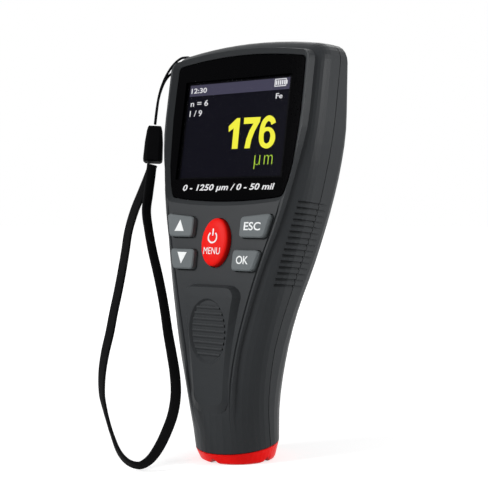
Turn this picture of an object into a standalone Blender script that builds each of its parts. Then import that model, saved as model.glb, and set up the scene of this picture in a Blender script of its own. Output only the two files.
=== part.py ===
"""Handheld coating thickness gauge: two-shell case with a leaning display head, five keys,
a round probe foot with a red collar, a battery bay in the handle and a wrist strap.

Sizes are millimetres, measured from the probe's axis (x = 0, y = 0) and the foot's face (z = 0).
The display faces -Y. SHIFT_Y moves the finished gauge so that its depth is centred on y = 0.
"""
import math
from typing import NamedTuple

import bmesh
import bpy
from mathutils import Vector

MM = 0.001

# Overall sizes
HEIGHT = 149.9
WIDTH = 69.85
DEPTH = 38.1
FRONT_REACH = 16.4
CLEARANCE = 0.3

# Front face: a straight slope from the keypad to the top
FACE_LEAN = 10.3
KEYPAD_HEIGHT = 78.3
FACE_OFFSET = 10.6

# Case shells
FOOT_RADIUS = 15.0
GRIP_HEIGHT = 38.0
GRIP_HALF_WIDTH = 19.6
GRIP_FRONT = 15.3
GRIP_BACK = 12.6
WALL = 2.0
KEYPAD_WALL = 2.4
DISPLAY_WALL = 4.6
CORNER_RADIUS = 6.5
CROWN_RADIUS = 184.0
RIDGE_INSET = 3.2
RIDGE_WIDTH = 0.7
GROOVE_WIDTH = 0.7
GROOVE_DEPTH = 0.45
SEAM_GAP = 0.3
BACK_EDGE = 5.0

# Display
LENS_RECESS = 1.7
LENS_THICKNESS = 1.2
LENS_TOP_MARGIN = 5.07
LENS_BOTTOM = 14.7
LENS_HALF_WIDTH = 29.1
RIM_SLOPE = 2.0
PANEL_HALF_WIDTH = 25.4
PANEL_TOP_MARGIN = 6.8
PANEL_LOW_MARGIN = 6.6
PANEL_THICKNESS = 1.4
BACKLIGHT_THICKNESS = 0.7
TRAY_THICKNESS = 0.5

# Keys
KEY_PROUD = 1.9
MENU_PROUD = 2.3
KEY_TRAVEL = 0.6
KEY_FLANGE = 0.6
KEY_NUB = 0.5
NUB_INSET = 0.4
FLANGE_THICKNESS = 1.0
MENU_HALF_WIDTH = 6.0
MENU_HALF_HEIGHT = 8.6
UPPER_KEY_INNER = 10.7
UPPER_KEY_OUTER = 23.7
LOWER_KEY_INNER = 8.8
LOWER_KEY_OUTER = 20.3
KEY_TAPER = 2.2
UPPER_KEY_BOTTOM = 1.3
UPPER_KEY_HEIGHT = 7.2
UPPER_KEY_RISE = 1.2
LOWER_KEY_BOTTOM = -10.3
LOWER_KEY_HEIGHT = 7.2
KEY_CORNER = 1.5

# Boards
BOARD_THICKNESS = 1.6
BOARD_TOP_MARGIN = 10.2
MAT_THICKNESS = 0.8
DOME_HEIGHT = 0.6
CHIP_HEIGHT = 1.6
BUZZER_RADIUS = 6.0
BUZZER_HEIGHT = 4.0

# Thumb pad
PAD_RAISE = 2.5
PAD_SLOPE = 1.9
PAD_TOP_SLOPE = 0.8
PAD_LOW_SLOPE = 3.0
PAD_CORNER = 3.2
PAD_BOTTOM = 21.2
PAD_KEY_GAP = 5.6
PAD_TOP_HALF = 11.6
PAD_LOW_HALF = 6.4
OVAL_HALF_WIDTH = 8.5
OVAL_BEVEL = 0.9
OVAL_HALF_HEIGHT = 11.7
OVAL_CENTRE = 47.1
OVAL_DEPTH = 0.8
RIB_PITCH = 2.05
RIB_COUNT = 9
RIB_WIDTH = 0.95

# Side grip slots
SLOT_COUNT = 15
SLOT_PITCH = 2.02
SLOT_WIDTH = 1.1
SLOT_DEPTH = 1.0
SLOT_SEAM_DEPTH = 0.4
SLOT_END_DEPTH = 0.15
SLOT_START = 4.4
SLOT_BACK = 4.5
SLOT_LOW = 63.6

# Battery bay in the handle
CELL_RADIUS = 5.2
CELL_LENGTH = 43.5
CELL_NUB = 0.9
CELL_NUB_RADIUS = 1.9
CELL_AXIS_Y = 4.8
BAY_BOTTOM = 25.0
BAY_WALL = 1.4
CONTACT_THICKNESS = 0.4
CONTACT_SPRING_LENGTH = 2.6
DOOR_THICKNESS = 1.5
DOOR_PROUD = 0.35
DOOR_HALF_WIDTH = 12.2
DOOR_MARGIN = 1.2
DOOR_FLOOR = 7.4

# Screws
SCREW_HEAD_RADIUS = 1.9
SCREW_HEAD_HEIGHT = 1.3
SCREW_SHANK_RADIUS = 0.95
SCREW_LENGTH = 10.0
SCREW_BITE = 6.8
PILLAR_RADIUS = 3.0
BOSS_GAP = 0.6
TOP_SCREW_X = 20.0
TOP_SCREW_DROP = 9.3
LOW_SCREW_EDGE = 7.6
LOW_SCREW_DROP = 13.2
BOARD_SCREW_X = 20.0
BOARD_SCREW_V = 16.0

# Probe foot
COLLAR_HEIGHT = 5.5
COLLAR_TILT = 7.0
COLLAR_LOW_RADIUS = 13.7
COLLAR_EDGE = 1.3
SPIGOT_HEIGHT = 4.0
SPIGOT_INSET = 1.0
NOTCH_WIDTH = 4.0
NOTCH_DEPTH = 1.9
BARREL_RADIUS = 8.2
BARREL_BORE = 6.4
BARREL_FOOT = 1.2
BARREL_TOP = 20.0
PLUNGER_RADIUS = 6.35
PLUNGER_REST = 0.6
PLUNGER_LENGTH = 10.4
PLUNGER_STEM = 6.0
STEM_RADIUS = 2.0
TIP_RADIUS = 1.4
PROBE_TRAVEL = 1.5
CAP_THICKNESS = 2.4
SPRING_RADIUS = 4.0
SPRING_WIRE = 0.4
SPRING_TURNS = 5

# Wrist strap
STRAP_CORD_RADIUS = 0.5
STRAP_HOLE_RADIUS = 1.1
STRAP_HOLE_ANGLES = (5.0, 50.0)
STRAP_HOLE_SHIFT = 0.6
STRAP_BEND = 2.0
WEBBING_RADIUS = 1.0
SLEEVE_WIDTH = 7.4
SLEEVE_DEPTH = 4.6
SLEEVE_LENGTH = 14.6
SLEEVE_BOTTOM = (-41.0, 0.2, 107.4)
SLEEVE_TOP = (-43.1, 4.0, 121.6)
STRAP_TURN = 38.7

SHIFT_Y = DEPTH / 2 - (DEPTH - FRONT_REACH)
KEYPAD_Z = KEYPAD_HEIGHT
LEAN = math.radians(FACE_LEAN)
FACE_UP = Vector((0.0, math.sin(LEAN), math.cos(LEAN)))
FACE_OUT = Vector((0.0, -math.cos(LEAN), math.sin(LEAN)))
FACE_ORIGIN = Vector((0.0, -FACE_OFFSET, KEYPAD_Z))
BODY_BOTTOM = COLLAR_HEIGHT + CLEARANCE
HEAD_HEIGHT = HEIGHT - KEYPAD_Z
LENS_TOP = HEAD_HEIGHT / math.cos(LEAN) - LENS_TOP_MARGIN
BOARD_TOP = LENS_TOP - BOARD_TOP_MARGIN


def face_y(z):
    """Depth of the straight front slope at a height."""
    return -FACE_OFFSET + math.tan(LEAN) * (z - KEYPAD_Z)


class Station(NamedTuple):
    """One level cross-section of the case."""
    z: float
    half: float
    ridge: float
    seam: float
    front: float
    back: float
    front_power: float
    back_power: float


BACK_REACH = DEPTH - FRONT_REACH
HEAD_HALF = WIDTH / 2
HEAD_RIDGE = HEAD_HALF - RIDGE_INSET
LOW_KEY_Z = KEYPAD_Z - 8.3
MID_GRIP_Z = (GRIP_HEIGHT + LOW_KEY_Z) / 2
LENS_FOOT_Z = KEYPAD_Z + 7.7
CHIN_Z = KEYPAD_Z + 0.359 * HEAD_HEIGHT
BROW_Z = KEYPAD_Z + 0.61 * HEAD_HEIGHT



def station(z, half, ridge, front, back_share, seam_share, front_power, back_power):
    """A station whose back lies between the grip's and the head's, and its seam between front and back."""
    back = GRIP_BACK + back_share * (BACK_REACH - GRIP_BACK)
    seam = front + seam_share * (back - front)
    return Station(z, half, ridge, seam, front, back, front_power, back_power)


STATIONS = (
    Station(BODY_BOTTOM, FOOT_RADIUS, 9.0, 0.0, -FOOT_RADIUS, FOOT_RADIUS, 2.0, 2.0),
    station((BODY_BOTTOM + GRIP_HEIGHT) / 2 - 0.9, 16.6, 9.7, -GRIP_FRONT - 0.45, 0.088, 0.4305, 2.2, 2.3),
    station(GRIP_HEIGHT, GRIP_HALF_WIDTH, 11.9, -GRIP_FRONT, 0.0, 0.394, 2.6, 2.9),
    station(MID_GRIP_Z, 23.2, 15.8, 1.1 - GRIP_FRONT, 0.121, 0.430, 3.0, 3.4),
    station(LOW_KEY_Z, 27.1, 20.3, face_y(LOW_KEY_Z), 0.4835, 0.4777, 3.6, 4.2),
    station(LENS_FOOT_Z, 30.9, 25.3, face_y(LENS_FOOT_Z), 0.747, 0.5105, 4.0, 4.8),
    station(CHIN_Z, 34.0, 29.4, face_y(CHIN_Z), 0.923, 0.5247, 4.4, 6.4),
    station(BROW_Z, HEAD_HALF, HEAD_RIDGE, face_y(BROW_Z), 1.0, 0.5895, 4.7, 9.0),
    station(HEIGHT, HEAD_HALF, HEAD_RIDGE, face_y(HEIGHT), 1.0, 0.725, 4.7, 9.0),
)


def smooth(xs, ys, x):
    """Value at x of the smooth curve through the points (xs, ys)."""
    last = len(xs) - 1
    slopes = []
    for i in range(last + 1):
        a, b = max(i - 1, 0), min(i + 1, last)
        turns = (ys[i] - ys[a]) * (ys[b] - ys[i]) <= 0 and a < i < b
        slopes.append(0.0 if turns else (ys[b] - ys[a]) / (xs[b] - xs[a]))
    x = min(max(x, xs[0]), xs[last])
    i = 0
    while i < last - 1 and x > xs[i + 1]:
        i += 1
    span = xs[i + 1] - xs[i]
    t = (x - xs[i]) / span
    return (ys[i] * (1 + 2 * t) * (1 - t) ** 2 + ys[i + 1] * t * t * (3 - 2 * t)
            + span * (slopes[i] * t * (1 - t) ** 2 - slopes[i + 1] * t * t * (1 - t)))


def case_at(z):
    """The case's cross-section at any height, smoothly between the stations."""
    heights = [s.z for s in STATIONS]
    values = [smooth(heights, [s[k] for s in STATIONS], z) for k in range(1, len(Station._fields))]
    return Station(z, *values)


def side_x(section, depth_share, power):
    """Half width of a superellipse at a share of its depth, 0 at the seam and 1 at its face."""
    return section.half * (1 - min(depth_share, 1.0) ** power) ** (1 / power)


def side_y(half, x, power):
    """Share of the depth that a superellipse has reached at half width x."""
    return (1 - min(abs(x) / half, 1.0) ** power) ** (1 / power)


# Basic mesh work

def principled(name, colour, roughness, metallic=0.0):
    """A plain Principled material."""
    material = bpy.data.materials.new(name)
    material.use_nodes = True
    shader = material.node_tree.nodes["Principled BSDF"]
    shader.inputs["Base Color"].default_value = (*colour, 1.0)
    shader.inputs["Roughness"].default_value = roughness
    shader.inputs["Metallic"].default_value = metallic
    return material


def solid(name, points, faces, material=None, smooth_angle=35.0):
    """An object from points in millimetres, closed and facing out."""
    mesh = bpy.data.meshes.new(name)
    bm = bmesh.new()
    verts = [bm.verts.new((x * MM, (y + SHIFT_Y) * MM, z * MM)) for x, y, z in points]
    for face in faces:
        corners = [verts[i] for i in face]
        if len(set(corners)) > 2 and bm.faces.get(corners) is None:
            bm.faces.new(corners)
    bmesh.ops.remove_doubles(bm, verts=bm.verts, dist=1e-7)
    bmesh.ops.dissolve_degenerate(bm, edges=bm.edges, dist=1e-8)
    bmesh.ops.recalc_face_normals(bm, faces=bm.faces)
    bm.to_mesh(mesh)
    bm.free()
    mesh.shade_smooth()
    mesh.set_sharp_from_angle(angle=math.radians(smooth_angle))
    thing = bpy.data.objects.new(name, mesh)
    bpy.context.scene.collection.objects.link(thing)
    if material is not None:
        mesh.materials.append(material)
    return thing


def as_tool(thing):
    """Marks an object as a cutter or a guide."""
    thing.hide_render = True
    thing.display_type = "WIRE"
    return thing


def combine(target, tool, operation):
    """A Boolean of the tool on the target."""
    modifier = target.modifiers.new(tool.name, "BOOLEAN")
    modifier.operation = operation
    modifier.solver = "EXACT"
    modifier.object = as_tool(tool)


def cut(target, tool):
    """Takes the tool away from the target."""
    combine(target, tool, "DIFFERENCE")


def join(target, tool):
    """Adds the tool to the target."""
    combine(target, tool, "UNION")


class Frame(NamedTuple):
    """A flat frame: an origin and the directions of its u, v and outward axes."""
    origin: Vector
    u: Vector
    v: Vector
    out: Vector

    def at(self, u, v, n):
        """The point at u, v and a height n above the frame."""
        return self.origin + self.u * u + self.v * v + self.out * n


FACE = Frame(FACE_ORIGIN, Vector((1, 0, 0)), FACE_UP, FACE_OUT)
BACK = Frame(Vector((0, 0, 0)), Vector((1, 0, 0)), Vector((0, 0, 1)), Vector((0, 1, 0)))
FLOOR = Frame(Vector((0, 0, 0)), Vector((1, 0, 0)), Vector((0, 1, 0)), Vector((0, 0, 1)))


def grown(loop, amount):
    """A loop moved outwards by an amount, with mitred corners."""
    if amount == 0:
        return list(loop)
    area = sum(a[0] * b[1] - b[0] * a[1] for a, b in zip(loop, loop[1:] + loop[:1]))
    turn = 1.0 if area > 0 else -1.0
    result = []
    count = len(loop)
    for i, (u, v) in enumerate(loop):
        before, after = loop[i - 1], loop[(i + 1) % count]
        d1 = Vector((u - before[0], v - before[1])).normalized()
        d2 = Vector((after[0] - u, after[1] - v)).normalized()
        n1, n2 = Vector((d1.y, -d1.x)) * turn, Vector((d2.y, -d2.x)) * turn
        mitre = (n1 + n2).normalized()
        reach = amount / max(mitre.dot(n1), 0.35)
        result.append((u + mitre.x * reach, v + mitre.y * reach))
    return result


def stack(name, frame, loop, levels, material=None):
    """A solid through copies of one loop: levels lists (height, amount grown) from low to high."""
    points, faces = [], []
    count = len(loop)
    for height, amount in levels:
        points += [frame.at(u, v, height) for u, v in grown(loop, amount)]
    faces.append(range(count - 1, -1, -1))
    for k in range(len(levels) - 1):
        low, high = k * count, (k + 1) * count
        for i in range(count):
            j = (i + 1) % count
            faces.append((low + i, low + j, high + j, high + i))
    top = (len(levels) - 1) * count
    faces.append(range(top, top + count))
    return solid(name, points, faces, material)


def turned(name, centre, profile, material=None, steps=32, frame=FLOOR):
    """A solid of revolution: profile lists (radius, height) from the low end to the high end."""
    loop = [(math.cos(2 * math.pi * i / steps), math.sin(2 * math.pi * i / steps)) for i in range(steps)]
    points, faces = [], []
    for radius, height in profile:
        points += [frame.at(centre[0] + c * radius, centre[1] + s * radius, height) for c, s in loop]
    rings = len(profile)
    closed = profile[0] == profile[-1]
    for k in range(rings - 1):
        low, high = k * steps, (k + 1) * steps
        for i in range(steps):
            j = (i + 1) % steps
            faces.append((low + i, low + j, high + j, high + i))
    if not closed:
        faces.append(range(steps - 1, -1, -1))
        faces.append(range((rings - 1) * steps, rings * steps))
    return solid(name, points, faces, material)


def slab(name, half, rows, material=None):
    """A solid of constant width along x: rows lists (z, front y, rear y) from the bottom up."""
    points, faces = [], []
    for z, front, rear in rows:
        points += [(-half, front, z), (half, front, z), (half, rear, z), (-half, rear, z)]
    for k in range(len(rows) - 1):
        low, high = 4 * k, 4 * k + 4
        for i in range(4):
            j = (i + 1) % 4
            faces.append((low + i, low + j, high + j, high + i))
    last = 4 * len(rows) - 4
    faces += [(3, 2, 1, 0), (last, last + 1, last + 2, last + 3)]
    return solid(name, points, faces, material)


def corner(before, point, after, radius, steps=3):
    """A rounded corner of a loop as a short quadratic curve."""
    point = Vector(point)
    start = point + (Vector(before) - point).normalized() * radius
    end = point + (Vector(after) - point).normalized() * radius
    curve = []
    for i in range(steps + 1):
        t = i / steps
        at = start * (1 - t) ** 2 + point * 2 * t * (1 - t) + end * t * t
        curve.append((at.x, at.y))
    return curve


def rounded(corners, radius, steps=3):
    """A loop through rounded corners."""
    loop = []
    for i, point in enumerate(corners):
        loop += corner(corners[i - 1], point, corners[(i + 1) % len(corners)], radius, steps)
    return loop


def ellipse(half_u, half_v, centre_v=0.0, steps=32, centre_u=0.0):
    """An ellipse as a loop."""
    return [(centre_u + half_u * math.cos(2 * math.pi * i / steps),
             centre_v + half_v * math.sin(2 * math.pi * i / steps)) for i in range(steps)]


def rectangle(u0, v0, u1, v1):
    """A rectangle as a loop."""
    return [(u0, v0), (u1, v0), (u1, v1), (u0, v1)]


def mirrored(right):
    """A closed loop from its right half, listed from the top centre to the bottom centre."""
    return right + [(-u, v) for u, v in reversed(right[1:-1])]


# Case shells

class Row(NamedTuple):
    """One row of a shell: a point of the front-view outline, its outward direction and level."""
    x: float
    z: float
    out_x: float
    out_z: float
    level: float
    half: float
    inset: float


ROW_SPACING = 6.0


def outline_rows(inset, z_low=BODY_BOTTOM, z_high=None):
    """Rows up the right side of the case, round its top corner and along the crown."""
    corner_x = HEAD_HALF - CORNER_RADIUS
    crown_z = HEIGHT - CROWN_RADIUS
    corner_z = crown_z + math.sqrt((CROWN_RADIUS - CORNER_RADIUS) ** 2 - corner_x ** 2)
    top = corner_z if z_high is None else z_high
    count = max(2, round((top - z_low) / ROW_SPACING))
    rows = []
    for i in range(count + 1):
        z = z_low + (top - z_low) * i / count
        half = case_at(z).half
        rows.append(Row(half - inset, z, 1.0, 0.0, z, half, inset))
    if z_high is not None:
        return rows
    lean_at_corner = math.asin(corner_x / (CROWN_RADIUS - CORNER_RADIUS))
    for i in range(1, 6):
        angle = (math.pi / 2 - lean_at_corner) * i / 5
        out_x, out_z = math.cos(angle), math.sin(angle)
        reach = CORNER_RADIUS - inset
        rows.append(Row(corner_x + reach * out_x, corner_z + reach * out_z, out_x, out_z, corner_z, HEAD_HALF,
                        inset))
    for i in range(1, 6):
        angle = lean_at_corner * (1 - i / 5)
        out_x, out_z = math.sin(angle), math.cos(angle)
        reach = CROWN_RADIUS - inset
        rows.append(Row(reach * out_x, crown_z + reach * out_z, out_x, out_z, corner_z, HEAD_HALF, inset))
    return rows


def loft(name, rows, half_section, depth, seam_shift=0.0, tilt=0.0, material=None):
    """A case half as a closed solid.

    half_section(level, half) lists (inset from the side, share of depth, sink) from the seam to the
    centre line and gives the last index that follows the outline; the rest run level across.
    depth(z, share, sink) gives the y of a point.
    """
    points, width = [], 0
    for row in rows:
        section, edge = half_section(row.level, row.half)
        right = []
        for inset, share, sink in section[:edge + 1]:
            x, z = row.x - row.out_x * inset, row.z - row.out_z * inset
            right.append((x, depth(z, share, sink), z))
        edge_x, edge_z = right[-1][0], right[-1][2]
        edge_inset, edge_share, _ = section[edge]
        ratio = max(edge_x, 0.0) / (row.half - edge_inset)
        fullness = max(edge_x, 0.0) / (row.half - row.inset - edge_inset)
        for inset, share, sink in section[edge + 1:]:
            x = (row.half - inset) * ratio
            share = edge_share + (share - edge_share) * min(fullness, 1.0)
            right.append((x, depth(edge_z, share, sink), edge_z))
        line = right + [(-x, y, z) for x, y, z in reversed(right[:-1])]
        width = len(line)
        points += line
    points = [(x, y + (seam_shift if i % width in (0, width - 1) else 0.0), z)
              for i, (x, y, z) in enumerate(points)]
    if tilt:
        rise = math.tan(math.radians(tilt))
        points = [(x, y, z + rise * y) if i < width else (x, y, z) for i, (x, y, z) in enumerate(points)]
    faces = []
    for i in range(len(rows) - 1):
        low, high = i * width, (i + 1) * width
        for j in range(width - 1):
            faces.append((low + j, low + j + 1, high + j + 1, high + j))
        faces.append((low + width - 1, low, high, high + width - 1))
    faces.append(range(width - 1, -1, -1))
    if rows[-1].x > 0.01:
        top = (len(rows) - 1) * width
        faces.append(range(top, top + width))
    return solid(name, points, faces, material, smooth_angle=28.0)


FRONT_STEPS = 6
PANEL_FADE_LOW = 11.0
PANEL_FADE_HIGH = 32.0


def panel_fade(z):
    """1 where the raised panel has melted into the round foot, 0 where it stands free."""
    t = min(max((z - PANEL_FADE_LOW) / (PANEL_FADE_HIGH - PANEL_FADE_LOW), 0.0), 1.0)
    return 1 - t * t * (3 - 2 * t)


def front_section(level, half):
    """Front half from the seam: rounded side, step up to the ridge, ridge, groove and flat face."""
    case = case_at(level)
    ridge = min(case.ridge, half - 1.5)
    power = case.front_power
    fade = panel_fade(level)
    foot = ridge + 0.35
    end = math.acos((foot / half) ** (power / 2))
    section = []
    for i in range(FRONT_STEPS + 1):
        angle = end * i / FRONT_STEPS
        section.append((half - half * math.cos(angle) ** (2 / power), math.sin(angle) ** (2 / power), 0.0))
    inner = ridge - RIDGE_WIDTH - GROOVE_WIDTH
    groove = GROOVE_DEPTH * (1 - fade) if level < LENS_FOOT_Z + 4 else 0.0
    marks = [(ridge, 0.0), (ridge - RIDGE_WIDTH, 0.0), (ridge - RIDGE_WIDTH - GROOVE_WIDTH / 2, groove),
             (inner, 0.0), (inner * 0.66, 0.0), (inner * 0.33, 0.0), (0.0, 0.0)]
    for x, sink in marks:
        base = side_y(half, x, power)
        section.append((half - x, 1 - fade * (1 - base), sink))
    return section, FRONT_STEPS + 4


def front_depth(z, share, sink):
    """Depth of the front shell's outer surface."""
    case = case_at(z)
    return case.seam + share * (case.front - case.seam) + sink


def front_wall(z):
    """Wall behind the front face: thick round the display, thin behind the keys."""
    low, high = KEYPAD_Z + LENS_BOTTOM - 3, KEYPAD_Z + LENS_BOTTOM + 1
    t = min(max((z - low) / (high - low), 0.0), 1.0)
    return KEYPAD_WALL + (DISPLAY_WALL - KEYPAD_WALL) * t


def cavity_section(edge_inset, steps, power_name):
    """A section function for a hollow or for the plain back."""
    def section(level, half):
        power = getattr(case_at(level), power_name)
        listed = []
        for i in range(steps + 1):
            angle = math.pi / 2 * i / steps
            x = half * max(math.cos(angle), 0.0) ** (2 / power) if i < steps else 0.0
            listed.append((half - x, math.sin(angle) ** (2 / power), 0.0))
        edge = max(k for k, entry in enumerate(listed) if entry[0] <= edge_inset or k == 0)
        return listed, edge
    return section


def back_depth(z, share, sink):
    """Depth of the back shell's outer surface."""
    case = case_at(z)
    return case.seam + SEAM_GAP + share * (case.back - case.seam - SEAM_GAP) + sink


def shell_outer(name, front, inset=0.0, proud=0.0, z_low=BODY_BOTTOM, z_high=None, material=None, tilt=0.0):
    """Outer form of a case half; proud grows the back outwards and inset shrinks it."""
    rows = outline_rows(inset, z_low, z_high)
    if front:
        return loft(name, rows, front_section, front_depth, tilt=tilt, material=material)

    def depth(z, share, sink):
        return back_depth(z, share, sink) + proud * share
    return loft(name, rows, cavity_section(BACK_EDGE, 9, "back_power"), depth, tilt=tilt, material=material)


def shell_hollow(name, front):
    """The hollow of a case half, open at the seam and at the foot."""
    rows = outline_rows(WALL, BODY_BOTTOM - 3)
    if front:
        def depth(z, share, _sink):
            case = case_at(z)
            return case.seam + share * (case.front + front_wall(z) - case.seam)
        section = cavity_section(CORNER_RADIUS - WALL - 0.5, 6, "front_power")
        return loft(name, rows, section, depth, seam_shift=1.0)

    def back(z, share, _sink):
        case = case_at(z)
        return case.seam + SEAM_GAP + share * (case.back - WALL - case.seam - SEAM_GAP)
    section = cavity_section(CORNER_RADIUS - WALL - 0.5, 6, "back_power")
    return loft(name, rows, section, back, seam_shift=-1.0)


LENS_SIDE = ((0.0, 25.0), (0.1, 26.6), (0.23, 27.9), (0.4, 28.5), (0.66, 29.1), (1.0, 28.8))


def lens_loop():
    """The display window's outline in the face's frame: arched top and bottom, tapering sides."""
    height = LENS_TOP - LENS_BOTTOM
    side_height = height - 2.4 - 1.6
    low = LENS_BOTTOM + 1.6
    shares = [p[0] for p in LENS_SIDE]
    widths = [p[1] * LENS_HALF_WIDTH / 29.1 for p in LENS_SIDE]

    def side(share):
        return smooth(shares, widths, share), low + share * side_height

    top_half, bottom_half = side(1.0)[0], side(0.0)[0]
    top = [(top_half * i / 5, LENS_TOP - 2.4 * (i / 5) ** 2) for i in range(5)]
    bottom = [(bottom_half * i / 5, LENS_BOTTOM + 1.6 * (i / 5) ** 2) for i in range(4, -1, -1)]
    edge = [side(s) for s in (0.97, 0.8, 0.6, 0.4, 0.23, 0.1)]
    right = top + corner(top[-1], (top_half, LENS_TOP - 2.4), edge[0], 1.3)
    right += edge + corner(edge[-1], (bottom_half, low), bottom[0], 1.6) + bottom
    return mirrored(right)


def face_rows(points, y_of):
    """Faces that close a symmetric loop with level rows; points lists the right half."""
    count = len(points)
    right = [(x, y_of(x, z), z) for x, z in points]
    left = [(-x, y_of(x, z), z) for x, z in points]
    faces = [(i, i + 1, count + i + 1, count + i) for i in range(count - 1)]
    return right + left, faces


def thumb_pad():
    """The raised thumb pad: a face that follows the handle with sloped sides all round."""
    top = KEYPAD_Z + LOWER_KEY_BOTTOM - PAD_KEY_GAP
    rows = 10

    def half_at(z):
        share = (z - PAD_BOTTOM) / (top - PAD_BOTTOM)
        return PAD_LOW_HALF + (PAD_TOP_HALF - PAD_LOW_HALF) * share ** 1.6

    def arc(centre_x, centre_z, way):
        angles = [math.pi / 2 * k / 4 for k in range(1, 4)]
        if way < 0:
            angles = angles[::-1]
        return [(centre_x + PAD_CORNER * math.sin(a), centre_z + way * PAD_CORNER * math.cos(a)) for a in angles]

    high, low = top - PAD_CORNER, PAD_BOTTOM + PAD_CORNER
    high_x, low_x = half_at(high) - PAD_CORNER, half_at(low) - PAD_CORNER
    profile = [(0.0, top), (high_x, top)] + arc(high_x, high, 1)
    profile += [(half_at(z), z) for z in (high + (low - high) * i / rows for i in range(rows + 1))]
    profile += arc(low_x, low, -1) + [(low_x, PAD_BOTTOM), (0.0, PAD_BOTTOM)]
    unit = grown(mirrored(profile), 1.0)

    def outer(i):
        (x, z), (out_x, out_z) = profile[i], unit[i]
        slope = PAD_TOP_SLOPE if out_z > z else PAD_LOW_SLOPE
        return x + (out_x - x) * PAD_SLOPE, z + (out_z - z) * slope

    def face_depth(_x, z):
        return max(case_at(z).front - PAD_RAISE, -FRONT_REACH)

    def base_depth(_x, z):
        return case_at(z).front + KEYPAD_WALL / 2

    face_points, face_faces = face_rows(profile, face_depth)
    mid = [outer(i) for i in range(len(profile))]
    mid_points, _ = face_rows(mid, lambda x, z: case_at(z).front + 0.1 + 3.0 * panel_fade(z) * (x / 15.0) ** 2)
    base_points, base_faces = face_rows(mid, base_depth)
    count = len(profile)
    points = face_points + mid_points + base_points
    size = 2 * count
    faces = list(face_faces)
    faces += [tuple(i + 2 * size for i in reversed(face)) for face in base_faces]
    ring = list(range(count)) + list(range(2 * count - 1, count - 1, -1))
    for level in (0, size):
        for a, b in zip(ring, ring[1:] + ring[:1]):
            faces.append((level + a, level + b, level + size + b, level + size + a))
    return solid("thumb_pad", points, faces)


def ribbed_oval():
    """Cutter for the pad's oval hollow, which leaves the ribs standing."""
    oval = stack("thumb_oval", Frame(Vector((0, 0, 0)), BACK.u, BACK.v, -BACK.out),
                 ellipse(OVAL_HALF_WIDTH, OVAL_HALF_HEIGHT, OVAL_CENTRE),
                 [(FRONT_REACH - 4.0, -OVAL_BEVEL), (FRONT_REACH - OVAL_DEPTH, -OVAL_BEVEL), (FRONT_REACH, 0.0),
                  (FRONT_REACH + 4.0, 0.0)])
    rows = []
    for i in range(13):
        z = OVAL_CENTRE + OVAL_HALF_HEIGHT * 1.2 * (i / 6 - 1)
        rows.append((z, max(case_at(z).front - PAD_RAISE, -FRONT_REACH) + OVAL_DEPTH, 5.0))
    keep = slab("thumb_floor", OVAL_HALF_WIDTH + 2, rows)
    cut(oval, keep)
    for k in range(RIB_COUNT):
        z = OVAL_CENTRE + (k - (RIB_COUNT - 1) / 2) * RIB_PITCH
        y = max(case_at(z).front - PAD_RAISE, -FRONT_REACH) + 0.25
        reach = OVAL_HALF_WIDTH * 0.86 * math.sqrt(max(1 - ((z - OVAL_CENTRE) / OVAL_HALF_HEIGHT) ** 2, 0.1))
        loop = [(z - RIB_WIDTH / 2, 2.0), (z - RIB_WIDTH / 2, -y - 0.25), (z, -y), (z + RIB_WIDTH / 2, -y - 0.25),
                (z + RIB_WIDTH / 2, 2.0)]
        frame = Frame(Vector((0, 0, 0)), Vector((0, 0, 1)), Vector((0, -1, 0)), Vector((1, 0, 0)))
        cut(oval, stack(f"thumb_rib_{k + 1}", frame, loop, [(-reach, 0.0), (reach, 0.0)]))
    return oval


def grip_slots(name, side, front):
    """Cutter for a row of grip slots across one side of the case."""
    points, faces = [], []
    middle_depth = (SLOT_DEPTH + SLOT_SEAM_DEPTH) / 2
    for k in range(SLOT_COUNT):
        level = SLOT_LOW + k * SLOT_PITCH
        case = case_at(level)
        start = case.front + SLOT_START
        if front:
            y0, y1 = start, case.seam + 1.0
            depths, widths = (SLOT_DEPTH, middle_depth, SLOT_SEAM_DEPTH), (1.0, 0.8, 0.65)
        else:
            y0, y1 = case.seam - 0.7, case.seam + SLOT_BACK
            depths, widths = (SLOT_SEAM_DEPTH, SLOT_SEAM_DEPTH, SLOT_END_DEPTH), (0.65, 0.6, 0.5)
        first = len(points)
        for y, depth, width in zip((y0, (y0 + y1) / 2, y1), depths, widths):
            z = level - math.tan(LEAN) * 0.5 * (y - start)
            here = case_at(z)
            face, power = (here.front, here.front_power) if front else (here.back, here.back_power)
            skin = side_x(here, max((y - here.seam) / (face - here.seam), 0.0), power)
            rise = SLOT_WIDTH * width / 2
            for reach in (skin - depth, skin + 2.0):
                points += [(side * reach, y, z - rise), (side * reach, y, z + rise)]
        for i in range(2):
            a = first + 4 * i
            faces += [(a, a + 1, a + 5, a + 4), (a + 2, a + 6, a + 7, a + 3),
                      (a, a + 4, a + 6, a + 2), (a + 1, a + 3, a + 7, a + 5)]
        faces += [(first, first + 2, first + 3, first + 1), (first + 8, first + 9, first + 11, first + 10)]
    return solid(name, points, faces)


def screw_places():
    """Centre of each case screw: x and z."""
    top = HEIGHT - TOP_SCREW_DROP
    low = LOW_KEY_Z - LOW_SCREW_DROP
    x = case_at(low).half - LOW_SCREW_EDGE
    return [(TOP_SCREW_X, top), (-TOP_SCREW_X, top), (x, low), (-x, low)]


def post(name, x, z, y0, y1, radius, steps=16):
    """A round post or hole along Y."""
    return turned(name, (x, z), [(radius, y0), (radius, y1)], None, steps, BACK)


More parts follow.
